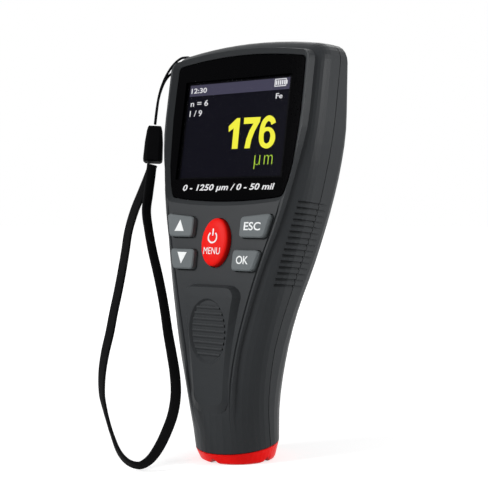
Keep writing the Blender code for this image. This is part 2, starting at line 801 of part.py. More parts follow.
def front_shell(material):
    """Front half of the case with display window, key openings, thumb pad and grip slots."""
    shell = shell_outer("front_shell", True, material=material, tilt=COLLAR_TILT)
    join(shell, thumb_pad())
    cut(shell, shell_hollow("front_hollow", True))
    for number, (x, z) in enumerate(screw_places()):
        case = case_at(z)
        skin = front_depth(z, side_y(case.half, abs(x) + PILLAR_RADIUS, case.front_power), 0.0)
        join(shell, post(f"front_boss_{number + 1}", x, z, skin + WALL / 2, case.seam - BOSS_GAP, PILLAR_RADIUS))
    boss_top = board_level() + CLEARANCE
    for number, (u, v) in enumerate(board_screw_places()):
        join(shell, turned(f"board_boss_{number + 1}", (u, v), [(2.3, boss_top), (2.3, -KEYPAD_WALL + 0.6)],
                           None, 20, FACE))
        cut(shell, turned(f"board_boss_hole_{number + 1}", (u, v),
                          [(SCREW_SHANK_RADIUS + CLEARANCE, boss_top - 1.0),
                           (SCREW_SHANK_RADIUS + CLEARANCE, boss_top + 3.6)], None, 16, FACE))
    for number, (x, z) in enumerate(screw_places()):
        case = case_at(z)
        y_end = screw_seat(z) - SCREW_LENGTH - 0.5
        cut(shell, post(f"front_screw_hole_{number + 1}", x, z, y_end, case.seam + 1.0,
                        SCREW_SHANK_RADIUS + CLEARANCE, 16))
    window = lens_loop()
    cut(shell, stack("rim_slope", FACE, window, [(-LENS_RECESS, CLEARANCE), (0.6, RIM_SLOPE + 0.6)]))
    cut(shell, stack("lens_pocket", FACE, window,
                     [(-LENS_RECESS - LENS_THICKNESS - CLEARANCE, CLEARANCE), (-LENS_RECESS + 0.2, CLEARANCE)]))
    cut(shell, stack("panel_window", FACE, panel_loop(),
                     [(-DISPLAY_WALL - 4.0, CLEARANCE), (-LENS_RECESS, CLEARANCE)]))
    for name, loop in key_loops().items():
        cut(shell, stack(f"{name}_opening", FACE, loop, [(-KEYPAD_WALL - 2.0, CLEARANCE), (3.0, CLEARANCE)]))
        cut(shell, stack(f"{name}_flange_room", FACE, loop, [(-KEYPAD_WALL - 2.6, KEY_FLANGE + CLEARANCE),
                                                             (-KEYPAD_WALL, KEY_FLANGE + CLEARANCE)]))
    cut(shell, ribbed_oval())
    for side, word in ((1, "right"), (-1, "left")):
        cut(shell, grip_slots(f"front_slots_{word}", side, True))
    return shell


def door_frame_z():
    """Lower and upper end of the battery door."""
    return BAY_BOTTOM - DOOR_MARGIN, bay_top() + DOOR_MARGIN


def bay_top():
    """Upper end of the battery bay."""
    return BAY_BOTTOM + 2 * CONTACT_THICKNESS + CONTACT_SPRING_LENGTH + CELL_LENGTH + CELL_NUB + 3 * CLEARANCE


def door_loop():
    """Outline of the battery door seen from behind."""
    low, high = door_frame_z()
    return rounded(rectangle(-DOOR_HALF_WIDTH, low, DOOR_HALF_WIDTH, high), 2.5)


def screw_seat(z):
    """Depth of the face that a case screw's head rests on."""
    return case_at(z).seam + SCREW_LENGTH - SCREW_BITE


def strap_holes():
    """Centre and direction of the two strap holes round the back shell's top left corner."""
    corner_x = HEAD_HALF - CORNER_RADIUS
    crown_z = HEIGHT - CROWN_RADIUS
    corner_z = crown_z + math.sqrt((CROWN_RADIUS - CORNER_RADIUS) ** 2 - corner_x ** 2)
    places = []
    for degrees in STRAP_HOLE_ANGLES:
        out = Vector((-math.cos(math.radians(degrees)), 0.0, math.sin(math.radians(degrees))))
        y = (case_at(corner_z).seam + BACK_REACH) / 2 - STRAP_HOLE_SHIFT
        places.append((Vector((-corner_x, y, corner_z)), out))
    return places


def back_shell(material):
    """Back half of the case with battery bay, screw pillars, strap holes and grip slots."""
    shell = shell_outer("back_shell", False, material=material, tilt=COLLAR_TILT)
    cut(shell, shell_hollow("back_hollow", False))
    for number, (x, z) in enumerate(screw_places()):
        case = case_at(z)
        skin = back_depth(z, side_y(case.half, abs(x) + PILLAR_RADIUS, case.back_power), 0.0)
        join(shell, post(f"back_pillar_{number + 1}", x, z, case.seam + SEAM_GAP + BOSS_GAP, skin - WALL / 2,
                         PILLAR_RADIUS))
    bay_half = 2 * CELL_RADIUS + 0.6
    y_in = CELL_AXIS_Y - CELL_RADIUS - CLEARANCE
    low, high = BAY_BOTTOM, bay_top()
    outer = bay_half + BAY_WALL
    rows = []
    for i in range(11):
        z = low - BAY_WALL + (high - low + 2 * BAY_WALL) * i / 10
        case = case_at(z)
        rear = back_depth(z, side_y(case.half, outer, case.back_power), 0.0) - WALL / 2
        rows.append((z, y_in - BAY_WALL, rear))
    join(shell, slab("bay_block", outer, rows))
    cut(shell, stack("bay_room", BACK, rectangle(-bay_half, low, bay_half, high), [(y_in, 0.0), (30.0, 0.0)]))
    cut(shell, stack("door_opening", BACK, door_loop(), [(DOOR_FLOOR, CLEARANCE), (30.0, CLEARANCE)]))
    for number, (x, z) in enumerate(screw_places()):
        seat = screw_seat(z)
        cut(shell, post(f"screw_well_{number + 1}", x, z, seat, 40.0, SCREW_HEAD_RADIUS + CLEARANCE))
        cut(shell, post(f"back_screw_hole_{number + 1}", x, z, -10.0, seat + 0.5,
                        SCREW_SHANK_RADIUS + CLEARANCE, 16))
    for number, (centre, out) in enumerate(strap_holes()):
        across = Vector((0.0, 1.0, 0.0))
        frame = Frame(centre, across, out.cross(across), out)
        cut(shell, turned(f"strap_hole_{number + 1}", (0.0, 0.0),
                          [(STRAP_HOLE_RADIUS, 2.4), (STRAP_HOLE_RADIUS, 12.0)], None, 12, frame))
    for side, word in ((1, "right"), (-1, "left")):
        cut(shell, grip_slots(f"back_slots_{word}", side, False))
    return shell


# Display

def panel_loop():
    """Outline of the display module."""
    return rectangle(-PANEL_HALF_WIDTH, LENS_BOTTOM + PANEL_LOW_MARGIN, PANEL_HALF_WIDTH, LENS_TOP - PANEL_TOP_MARGIN)


def display(materials):
    """Window, liquid-crystal panel, backlight and steel tray, one behind the other."""
    stack("display_window", FACE, lens_loop(), [(-LENS_RECESS - LENS_THICKNESS, 0.0), (-LENS_RECESS - 0.15, 0.0),
                                                (-LENS_RECESS, -0.15)], materials["window"])
    front = -LENS_RECESS - LENS_THICKNESS - CLEARANCE
    for name, thickness in (("display_panel", PANEL_THICKNESS), ("display_backlight", BACKLIGHT_THICKNESS),
                            ("display_tray", TRAY_THICKNESS)):
        stack(name, FACE, panel_loop(), [(front - thickness, 0.0), (front, 0.0)], materials[name])
        front -= thickness + CLEARANCE
    return front


def board_level():
    """Height of the main board's front side in the face's frame."""
    layers = LENS_RECESS + LENS_THICKNESS + PANEL_THICKNESS + BACKLIGHT_THICKNESS + TRAY_THICKNESS
    return -layers - 4 * CLEARANCE


# Keys

def key_loops():
    """Outline of each key in the face's frame."""
    loops = {}
    upper_top = UPPER_KEY_BOTTOM + UPPER_KEY_HEIGHT
    lower_top = LOWER_KEY_BOTTOM + LOWER_KEY_HEIGHT
    upper = [(UPPER_KEY_INNER, UPPER_KEY_BOTTOM), (UPPER_KEY_OUTER - KEY_TAPER, UPPER_KEY_BOTTOM),
             (UPPER_KEY_OUTER, upper_top + UPPER_KEY_RISE), (UPPER_KEY_INNER, upper_top)]
    lower = [(LOWER_KEY_INNER, LOWER_KEY_BOTTOM), (LOWER_KEY_OUTER - KEY_TAPER, LOWER_KEY_BOTTOM),
             (LOWER_KEY_OUTER, lower_top), (LOWER_KEY_INNER, lower_top)]
    for word, corners in (("key_escape", upper), ("key_confirm", lower)):
        loops[word] = rounded(corners, KEY_CORNER)
    for word, corners in (("key_up", upper), ("key_down", lower)):
        loops[word] = rounded([(-u, v) for u, v in reversed(corners)], KEY_CORNER)
    loops["key_menu"] = ellipse(MENU_HALF_WIDTH, MENU_HALF_HEIGHT, -0.5)
    return loops


def key_caps(materials):
    """The five key caps, each with the flange that holds it behind the wall."""
    under = -KEYPAD_WALL - CLEARANCE
    for name, loop in key_loops().items():
        levels = [(under - FLANGE_THICKNESS - KEY_NUB, -NUB_INSET), (under - FLANGE_THICKNESS, -NUB_INSET),
                  (under - FLANGE_THICKNESS, KEY_FLANGE), (under, KEY_FLANGE), (under, 0.0)]
        if name == "key_menu":
            levels += [(MENU_PROUD - 1.1, 0.0), (MENU_PROUD - 0.65, -0.2), (MENU_PROUD - 0.35, -0.6),
                       (MENU_PROUD - 0.15, -1.3), (MENU_PROUD, -2.8)]
        else:
            levels += [(KEY_PROUD - 0.35, 0.0), (KEY_PROUD, -0.4)]
        stack(name, FACE, loop, levels, materials[name])


def key_mat(material, board):
    """Silicone mat with a dome under each key."""
    base = board + CLEARANCE
    top = base + MAT_THICKNESS
    outline = [(-17.6, -12.3), (17.6, -12.3), (20.4, -1.0), (24.2, 1.0), (24.2, 11.6), (-24.2, 11.6), (-24.2, 1.0),
               (-20.4, -1.0)]
    mat = stack("key_mat", FACE, outline, [(base, 0.0), (top, 0.0)], material)
    dome_top = dome_level()
    for name, loop in key_loops().items():
        u = sum(p[0] for p in loop) / len(loop)
        v = sum(p[1] for p in loop) / len(loop)
        join(mat, turned(f"{name}_dome", (u, v), [(2.6, top - 0.3), (2.6, top), (1.7, dome_top)], None, 20, FACE))
    return mat


def dome_level():
    """Height of the mat's domes, a key's travel below the key."""
    return -KEYPAD_WALL - CLEARANCE - FLANGE_THICKNESS - KEY_NUB - KEY_TRAVEL - CLEARANCE


# Boards and what is on them

def board_screw_places():
    """Places of the main board's screws in the face's frame."""
    return [(BOARD_SCREW_X, BOARD_SCREW_V), (-BOARD_SCREW_X, BOARD_SCREW_V), (0.0, -15.2)]


def electronics(materials):
    """Main board with processor, memory, ribbon connector, buzzer and its screws."""
    top = board_level()
    low = top - BOARD_THICKNESS
    side = [(8.0, -18.0), (17.4, -12.6), (21.0, 0.0), (24.6, 12.0), (25.2, BOARD_TOP - 1.5), (16.0, BOARD_TOP)]
    outline = side + [(-u, v) for u, v in reversed(side)]
    middle = BOARD_TOP / 2
    board = stack("main_board", FACE, outline, [(low, 0.0), (top, 0.0)], materials["board"])
    for number, (u, v) in enumerate(board_screw_places()):
        cut(board, turned(f"board_hole_{number + 1}", (u, v),
                          [(SCREW_SHANK_RADIUS + CLEARANCE, low - 1), (SCREW_SHANK_RADIUS + CLEARANCE, top + 1)],
                          None, 16, FACE))
    seat = low - CLEARANCE
    stack("processor", FACE, rectangle(-5.0, middle - 5.0, 5.0, middle + 5.0),
          [(seat - CHIP_HEIGHT, 0.0), (seat, 0.0)], materials["chip"])
    stack("memory_chip", FACE, rectangle(9.0, middle - 2.5, 15.0, middle + 2.5),
          [(seat - CHIP_HEIGHT * 0.8, 0.0), (seat, 0.0)], materials["chip"])
    stack("ribbon_connector", FACE, rectangle(-9.0, BOARD_TOP - 7.5, 9.0, BOARD_TOP - 3.9),
          [(seat - 1.8, 0.0), (seat, 0.0)], materials["nylon"])
    stack("probe_connector", FACE, rectangle(-4.0, 2.0, 4.0, 6.5), [(seat - 2.6, 0.0), (seat, 0.0)],
          materials["nylon"])
    buzzer = [(BUZZER_RADIUS - 0.5, seat - BUZZER_HEIGHT), (BUZZER_RADIUS, seat - BUZZER_HEIGHT + 0.5),
              (BUZZER_RADIUS, seat)]
    turned("buzzer", (-11.6, BOARD_TOP - 17.5), buzzer, materials["buzzer"], 28, FACE)
    for number, (u, v) in enumerate(board_screw_places()):
        screw_solid(f"board_screw_{number + 1}", FACE, (u, v), low - CLEARANCE, 1, 4.2, materials["steel"])


def screw_solid(name, frame, centre, seat, way, length, material):
    """A pan-head screw with a cross recess; way is +1 where the shank runs along the frame's axis."""
    head, shank = SCREW_HEAD_RADIUS, SCREW_SHANK_RADIUS
    profile = [(head * 0.62, seat - way * SCREW_HEAD_HEIGHT), (head * 0.92, seat - way * SCREW_HEAD_HEIGHT * 0.78),
               (head, seat - way * SCREW_HEAD_HEIGHT * 0.35), (head, seat), (shank, seat),
               (shank, seat + way * (length - 0.8)), (shank * 0.35, seat + way * length)]
    if way < 0:
        profile = profile[::-1]
    screw = turned(name, centre, profile, material, 14, frame)
    u, v = centre
    ends = sorted((seat - way * (SCREW_HEAD_HEIGHT + 1.0), seat - way * SCREW_HEAD_HEIGHT * 0.45))
    for mark, loop in (("a", rectangle(u - 1.1, v - 0.22, u + 1.1, v + 0.22)),
                       ("b", rectangle(u - 0.22, v - 1.1, u + 0.22, v + 1.1))):
        cut(screw, stack(f"{name}_recess_{mark}", frame, loop, [(ends[0], 0.0), (ends[1], 0.0)]))
    return screw


def case_screws(material):
    """The four screws that close the case from behind."""
    for number, (x, z) in enumerate(screw_places()):
        screw_solid(f"case_screw_{number + 1}", BACK, (x, z), screw_seat(z) + CLEARANCE, -1, SCREW_LENGTH, material)


# Battery bay

def coil(name, centre, z_low, z_high, radius, wire, turns, material):
    """A compression spring as a bent wire with filled ends."""
    curve = bpy.data.curves.new(name, "CURVE")
    curve.dimensions = "3D"
    curve.bevel_depth = wire * MM
    curve.bevel_resolution = 1
    curve.use_fill_caps = True
    per_turn = 10
    count = turns * per_turn
    spline = curve.splines.new("POLY")
    spline.points.add(count)
    low, high = z_low + wire, z_high - wire
    for i in range(count + 1):
        angle = 2 * math.pi * i / per_turn
        z = low + (high - low) * i / count
        spline.points[i].co = ((centre[0] + radius * math.cos(angle)) * MM,
                               (centre[1] + SHIFT_Y + radius * math.sin(angle)) * MM, z * MM, 1.0)
    thing = bpy.data.objects.new(name, curve)
    bpy.context.scene.collection.objects.link(thing)
    curve.materials.append(material)
    return thing


def batteries(materials):
    """Two cells side by side, head to tail, with their contacts."""
    low, high = BAY_BOTTOM, bay_top()
    x = CELL_RADIUS + 0.25
    cell_low = low + CONTACT_THICKNESS + 2 * CLEARANCE
    cell_high = high - CONTACT_THICKNESS - 2 * CLEARANCE
    for name, side, flip in (("battery_cell_1", 1, False), ("battery_cell_2", -1, True)):
        start = cell_low if flip else cell_high - CELL_LENGTH - CELL_NUB
        profile = [(0.8 * CELL_RADIUS, 0.0), (CELL_RADIUS - 0.3, 0.0), (CELL_RADIUS, 0.4),
                   (CELL_RADIUS, CELL_LENGTH - 0.4), (CELL_RADIUS - 0.3, CELL_LENGTH), (CELL_NUB_RADIUS, CELL_LENGTH),
                   (CELL_NUB_RADIUS, CELL_LENGTH + CELL_NUB)]
        if flip:
            total = CELL_LENGTH + CELL_NUB
            profile = [(radius, total - height) for radius, height in reversed(profile)]
        turned(name, (side * x, CELL_AXIS_Y), [(r, start + h) for r, h in profile], materials["cell"], 24)
    plate = CONTACT_THICKNESS
    half = CELL_RADIUS - 0.8
    y0, y1 = CELL_AXIS_Y - half, CELL_AXIS_Y + half
    bottom = low + CLEARANCE
    top = high - CLEARANCE - plate
    stack("contact_bridge", FLOOR, rectangle(-x - half, y0, x + half, y1), [(bottom, 0.0), (bottom + plate, 0.0)],
          materials["nickel"])
    stack("contact_positive", FLOOR, rectangle(x - half, y0, x + half, y1), [(top, 0.0), (top + plate, 0.0)],
          materials["nickel"])
    stack("contact_negative", FLOOR, rectangle(-x - half, y0, -x + half, y1), [(top, 0.0), (top + plate, 0.0)],
          materials["nickel"])
    cell_total = CELL_LENGTH + CELL_NUB
    coil("contact_spring_1", (x, CELL_AXIS_Y), bottom + plate + CLEARANCE, cell_high - cell_total - CLEARANCE,
         3.0, 0.25, 3, materials["nickel"])
    coil("contact_spring_2", (-x, CELL_AXIS_Y), cell_low + cell_total + CLEARANCE, top - CLEARANCE, 3.0, 0.25, 3,
         materials["nickel"])


def door_hinge_line():
    """Depth and height of the line that the battery door tilts about."""
    high = door_frame_z()[1]
    return case_at(high).back + DOOR_PROUD, high


def battery_door(material):
    """Battery door: a plate cut from the back's own curve, with four finger grooves near its lower end."""
    low, high = door_frame_z()
    door = shell_outer("battery_door", False, proud=DOOR_PROUD, z_low=low - 6, z_high=high + 6, material=material)
    inner = shell_outer("door_inside", False, proud=-DOOR_THICKNESS, z_low=low - 8, z_high=high + 8)
    cut(door, inner)
    keep = stack("door_plate", BACK, door_loop(), [(6.0, 0.0), (40.0, 0.0)])
    combine(door, keep, "INTERSECT")
    for k in range(4):
        z = low + 4.0 + 1.8 * k
        loop = rectangle(-5.0 + 0.6 * k, z - 0.4, 5.0 - 0.6 * k, z + 0.4)
        skin = back_depth(z, 1.0, 0.0) + DOOR_PROUD
        cut(door, stack(f"door_rib_{k + 1}", BACK, loop, [(skin - 0.45, 0.0), (skin + 2.0, 0.0)]))
    return door


# Probe foot

def probe(materials):
    """Red collar, steel barrel, spring-loaded plunger with its tip, spring and cap."""
    spigot = FOOT_RADIUS - WALL - SPIGOT_INSET
    bore = BARREL_RADIUS + CLEARANCE
    tilt = math.tan(math.radians(COLLAR_TILT))
    collar_profile = [(bore, 0.0), (COLLAR_LOW_RADIUS - COLLAR_EDGE, 0.0),
                      (COLLAR_LOW_RADIUS - 0.35 * COLLAR_EDGE, 0.35 * COLLAR_EDGE),
                      (COLLAR_LOW_RADIUS, COLLAR_EDGE), (FOOT_RADIUS, COLLAR_HEIGHT), (spigot, COLLAR_HEIGHT),
                      (spigot, COLLAR_HEIGHT + SPIGOT_HEIGHT), (bore, COLLAR_HEIGHT + SPIGOT_HEIGHT), (bore, 0.0)]
    collar = turned("probe_collar", (0, 0), collar_profile, materials["collar"], 48)
    for vertex in collar.data.vertices:
        radius = math.hypot(vertex.co.x, vertex.co.y - SHIFT_Y * MM)
        if abs(vertex.co.z - COLLAR_HEIGHT * MM) < 1e-5 and radius > (spigot - 0.1) * MM:
            vertex.co.z += tilt * (vertex.co.y - SHIFT_Y * MM)
    for number, degrees in enumerate((0.0, 90.0, 180.0, 270.0)):
        out = Vector((math.cos(math.radians(degrees)), math.sin(math.radians(degrees)), 0.0))
        frame = Frame(Vector((0, 0, 0)), out.cross(Vector((0, 0, -1))), Vector((0, 0, 1)), out)
        notch = [(-NOTCH_WIDTH / 2 - 0.7, -0.5), (NOTCH_WIDTH / 2 + 0.7, -0.5), (0.35, NOTCH_DEPTH),
                 (-0.35, NOTCH_DEPTH)]
        cut(collar, stack(f"notch_{number + 1}", frame, notch, [(bore - 1.0, 0.0), (FOOT_RADIUS + 2.0, 0.0)]))
    seat = COLLAR_HEIGHT + SPIGOT_HEIGHT + CLEARANCE
    barrel = [(BARREL_BORE, BARREL_FOOT), (BARREL_RADIUS - 0.4, BARREL_FOOT), (BARREL_RADIUS, BARREL_FOOT + 0.4),
              (BARREL_RADIUS, seat), (spigot, seat), (spigot, seat + 1.4), (BARREL_RADIUS, seat + 1.4),
              (BARREL_RADIUS, BARREL_TOP), (BARREL_BORE, BARREL_TOP), (BARREL_BORE, BARREL_FOOT)]
    turned("probe_barrel", (0, 0), barrel, materials["steel"], 36)
    low, high = PLUNGER_REST, PLUNGER_REST + PLUNGER_LENGTH
    tip_hole = TIP_RADIUS + CLEARANCE
    plunger = [(tip_hole, low), (PLUNGER_RADIUS - 0.6, low), (PLUNGER_RADIUS, low + 0.6), (PLUNGER_RADIUS, high),
               (STEM_RADIUS, high), (STEM_RADIUS, high + PLUNGER_STEM), (STEM_RADIUS - 0.6, high + PLUNGER_STEM),
               (STEM_RADIUS - 0.6, low + 4.0), (tip_hole, low + 4.0), (tip_hole, low)]
    turned("probe_plunger", (0, 0), plunger, materials["steel"], 32)
    turned("probe_tip", (0, 0), [(0.5, low - 0.3), (1.1, low - 0.12), (TIP_RADIUS, low + 0.3),
                                 (TIP_RADIUS, low + 4.0 - CLEARANCE)], materials["tip"], 24)
    coil("probe_spring", (0, 0), high + CLEARANCE, BARREL_TOP, SPRING_RADIUS, SPRING_WIRE, SPRING_TURNS,
         materials["nickel"])
    cap_low = BARREL_TOP + CLEARANCE
    turned("probe_cap", (0, 0), [(BARREL_RADIUS - 0.4, cap_low), (BARREL_RADIUS, cap_low + 0.4),
                                 (BARREL_RADIUS, cap_low + CAP_THICKNESS)], materials["nylon"], 32)


# Wrist strap

def tube(name, points, radius, material, resolution=2):
    """A cord's solid: a tube through points given in millimetres, with filled ends."""
    curve = bpy.data.curves.new(name, "CURVE")
    curve.dimensions = "3D"
    curve.bevel_depth = radius * MM
    curve.bevel_resolution = resolution
    curve.use_fill_caps = True
    spline = curve.splines.new("POLY")
    spline.points.add(len(points) - 1)
    for i, point in enumerate(points):
        spline.points[i].co = (point[0] * MM, (point[1] + SHIFT_Y) * MM, point[2] * MM, 1.0)
    thing = bpy.data.objects.new(name, curve)
    bpy.context.scene.collection.objects.link(thing)
    curve.materials.append(material)
    return thing


def through(points, count):
    """Evenly listed points on the smooth curve through a route's own points."""
    route = [Vector(p) for p in points]
    distance = [0.0]
    for a, b in zip(route, route[1:]):
        distance.append(distance[-1] + (b - a).length)
    result = []
    for i in range(count):
        s = distance[-1] * i / (count - 1)
        result.append([smooth(distance, [p[k] for p in route], s) for k in range(3)])
    return result


# Route of the strap, chosen by hand: each strand runs up from the sleeve to its hole
UPPER_STRAND = (
    (-42.6, 3.4, 122.2), (-43.8, 5.6, 127.4), (-45.0, 8.2, 132.8), (-45.6, 11.0, 138.0), (-45.2, 13.8, 142.8),
    (-43.9, 16.2, 146.4), (-41.6, 17.5, 148.4), (-38.6, 17.8, 148.6), (-36.2, 17.7, 147.8),
)
LOWER_STRAND = (
    (-43.6, 4.6, 122.2), (-44.8, 6.8, 127.4), (-46.1, 9.4, 132.8), (-46.5, 12.2, 137.8), (-45.5, 14.8, 141.8),
    (-43.2, 16.7, 143.3), (-40.2, 17.6, 142.6), (-37.4, 17.7, 141.9),
)
WEBBING_ROUTE = (
    (-41.3, 0.6, 106.4), (-42.0, -1.4, 101.5), (-42.4, -4.6, 95.5), (-41.9, -9.0, 89.0), (-40.6, -13.6, 81.4),
    (-38.9, -17.1, 74.0), (-37.6, -20.3, 66.7), (-36.4, -23.6, 59.5), (-35.3, -27.0, 52.4), (-34.1, -30.2, 45.5),
    (-33.1, -33.6, 38.6), (-31.6, -36.6, 31.8), (-29.3, -39.0, 25.1), (-26.9, -40.1, 20.5), (-24.5, -40.9, 16.3),
    (-22.0, -41.5, 12.1), (-18.2, -42.0, 6.6), (-14.6, -41.4, 3.5), (-11.3, -39.5, 2.4), (-9.2, -37.0, 3.8),
    (-8.0, -34.2, 6.8), (-7.6, -30.1, 12.0), (-7.8, -26.0, 18.4), (-9.1, -22.9, 25.0), (-11.6, -20.6, 31.7),
    (-14.6, -18.9, 38.5), (-17.8, -17.2, 45.4), (-20.8, -15.4, 52.4), (-24.0, -13.7, 59.5), (-27.4, -12.2, 66.7),
    (-31.2, -10.6, 74.0), (-34.7, -8.8, 81.4), (-37.6, -7.0, 88.9), (-38.6, -4.8, 95.5), (-39.2, -3.0, 101.5),
    (-39.9, -1.4, 106.4),
)


def bend_behind_corner():
    """The cord's turn inside the case, from the lower hole round to the upper one."""
    (centre, _), _ = strap_holes()
    low, high = (math.radians(a) for a in STRAP_HOLE_ANGLES)
    half, middle = (high - low) / 2, (high + low) / 2
    reach = STRAP_BEND / math.sin(half)
    points = []
    for i in range(9):
        angle = (math.pi / 2 - half) * (2 * i / 8 - 1)
        x = reach * math.cos(middle) - STRAP_BEND * math.cos(middle - angle)
        z = reach * math.sin(middle) - STRAP_BEND * math.sin(middle - angle)
        points.append((centre.x - x, centre.y, centre.z + z))
    return points


def strap(cord_material, sleeve_material):
    """Wrist strap: a thin cord through the case's corner, a sleeve and a webbing loop."""
    bend = bend_behind_corner()
    (centre, low_out), (_, high_out) = strap_holes()
    mouth = CORNER_RADIUS + 1.2
    points = through(LOWER_STRAND + (tuple(centre + low_out * mouth),), 16) + [list(p) for p in bend]
    points += through((tuple(centre + high_out * mouth),) + UPPER_STRAND[::-1], 18)
    tube("strap_cord", points, STRAP_CORD_RADIUS, cord_material)
    tube("strap_webbing", through(WEBBING_ROUTE, 56), WEBBING_RADIUS, cord_material)
    low, high = Vector(SLEEVE_BOTTOM), Vector(SLEEVE_TOP)
    axis = (high - low).normalized()
    turn = math.radians(STRAP_TURN)
    side = Vector((math.cos(turn), math.sin(turn), 0.0))
    side = (side - axis * side.dot(axis)).normalized()
    frame = Frame(low, side, axis.cross(side), axis)
    half_w, half_d = SLEEVE_WIDTH / 2, SLEEVE_DEPTH / 2
    loop = rounded(rectangle(-half_w, -half_d, half_w, half_d), 1.6)
    stack("strap_sleeve", frame, loop, [(0.0, -0.7), (0.5, -0.1), (1.6, 0.0), (SLEEVE_LENGTH * 0.55, -0.25),
                                        (SLEEVE_LENGTH - 1.8, -0.75), (SLEEVE_LENGTH - 0.5, -1.1),
                                        (SLEEVE_LENGTH, -1.6)], sleeve_material)


def main():
    """Builds the whole gauge."""
    for thing in list(bpy.data.objects):
        bpy.data.objects.remove(thing, do_unlink=True)
    case = principled("case_plastic", (0.045, 0.047, 0.05), 0.5)
    grey = principled("key_grey", (0.16, 0.18, 0.19), 0.5)
    red = principled("key_red", (0.8, 0.02, 0.015), 0.4)
    steel = principled("steel", (0.6, 0.6, 0.6), 0.3, 1.0)
    nickel = principled("nickel_plate", (0.7, 0.68, 0.62), 0.25, 1.0)
    nylon = principled("white_nylon", (0.8, 0.78, 0.72), 0.5)
    parts = {
        "window": principled("window", (0.005, 0.005, 0.006), 0.08),
        "display_panel": principled("display_panel", (0.01, 0.01, 0.02), 0.2),
        "display_backlight": principled("display_backlight", (0.85, 0.85, 0.83), 0.4),
        "display_tray": steel, "steel": steel, "nickel": nickel, "nylon": nylon,
        "key_escape": grey, "key_confirm": grey, "key_up": grey, "key_down": grey, "key_menu": red,
        "board": principled("board_green", (0.02, 0.16, 0.06), 0.45),
        "chip": principled("chip_black", (0.02, 0.02, 0.02), 0.4),
        "buzzer": principled("buzzer_black", (0.03, 0.03, 0.03), 0.5),
        "cell": principled("cell_jacket", (0.03, 0.03, 0.035), 0.35),
        "collar": principled("collar_red", (0.85, 0.02, 0.01), 0.4),
        "tip": principled("tip_carbide", (0.35, 0.35, 0.37), 0.15, 1.0),
    }
    front_shell(case)
    back_shell(case)
    display(parts)
    key_caps(parts)
    key_mat(principled("silicone", (0.5, 0.5, 0.5), 0.6), board_level())
    electronics(parts)
    batteries(parts)
    battery_door(case)
    case_screws(steel)
    probe(parts)
    strap(principled("strap_black", (0.012, 0.012, 0.013), 0.8), principled("sleeve_black", (0.01, 0.01, 0.01), 0.45))


main()
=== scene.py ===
"""Looks of a handheld coating thickness gauge: finishes, display, key marks and wrist strap.

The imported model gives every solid. This script dresses it: each finish is built from shader nodes,
the reading and the key marks are thin printed pieces, and the strap is laid along its route.
Lengths are metres, and MM turns a size that is easier to read in millimetres into metres.
"""
from __future__ import annotations

import logging
import math
from dataclasses import dataclass
from enum import Enum
from typing import Optional, Sequence, Tuple, Union

import bpy
import numpy as np
from mathutils import Matrix, Vector


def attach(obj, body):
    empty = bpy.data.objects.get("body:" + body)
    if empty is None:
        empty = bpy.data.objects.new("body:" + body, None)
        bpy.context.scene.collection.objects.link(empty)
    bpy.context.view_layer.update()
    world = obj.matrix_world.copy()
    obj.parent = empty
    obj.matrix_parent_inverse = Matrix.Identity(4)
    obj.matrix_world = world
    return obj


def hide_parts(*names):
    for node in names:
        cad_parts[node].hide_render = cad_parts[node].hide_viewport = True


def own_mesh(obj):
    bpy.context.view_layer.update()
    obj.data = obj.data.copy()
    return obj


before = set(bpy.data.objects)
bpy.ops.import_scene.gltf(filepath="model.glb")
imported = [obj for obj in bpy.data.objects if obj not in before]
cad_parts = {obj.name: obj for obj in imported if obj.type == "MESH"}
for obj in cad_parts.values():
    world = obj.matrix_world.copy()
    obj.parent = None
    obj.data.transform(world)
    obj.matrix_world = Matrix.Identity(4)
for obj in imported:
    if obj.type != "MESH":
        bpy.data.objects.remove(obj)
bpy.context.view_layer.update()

MM = 0.001
LOG = logging.getLogger("gauge")

Socket = bpy.types.NodeSocket
Material = bpy.types.Material
Piece = bpy.types.Object
Value = Union[float, "Signal"]
Pair = Tuple[float, float]
Triple = Tuple[float, float, float]
Colour = Triple
Points = Sequence[Tuple[float, ...]]


def srgb(red: float, green: float, blue: float) -> Colour:
    """Returns the linear colour of a screen colour given from 0 to 255."""
    shares = (value / 255 for value in (red, green, blue))
    return tuple(s / 12.92 if s <= 0.04045 else ((s + 0.055) / 1.055) ** 2.4 for s in shares)


def scaled(colour: Colour, factor: float) -> Colour:
    """Returns a colour made darker or paler, at most white."""
    return tuple(min(c * factor, 1.0) for c in colour)


def metres(*values: float) -> Tuple[float, ...]:
    """Turns millimetres into metres."""
    return tuple(value * MM for value in values)


def put(name: str, data: bpy.types.ID) -> Piece:
    """Adds an object to the scene."""
    piece = bpy.data.objects.new(name, data)
    bpy.context.scene.collection.objects.link(piece)
    return piece


# Shader arithmetic

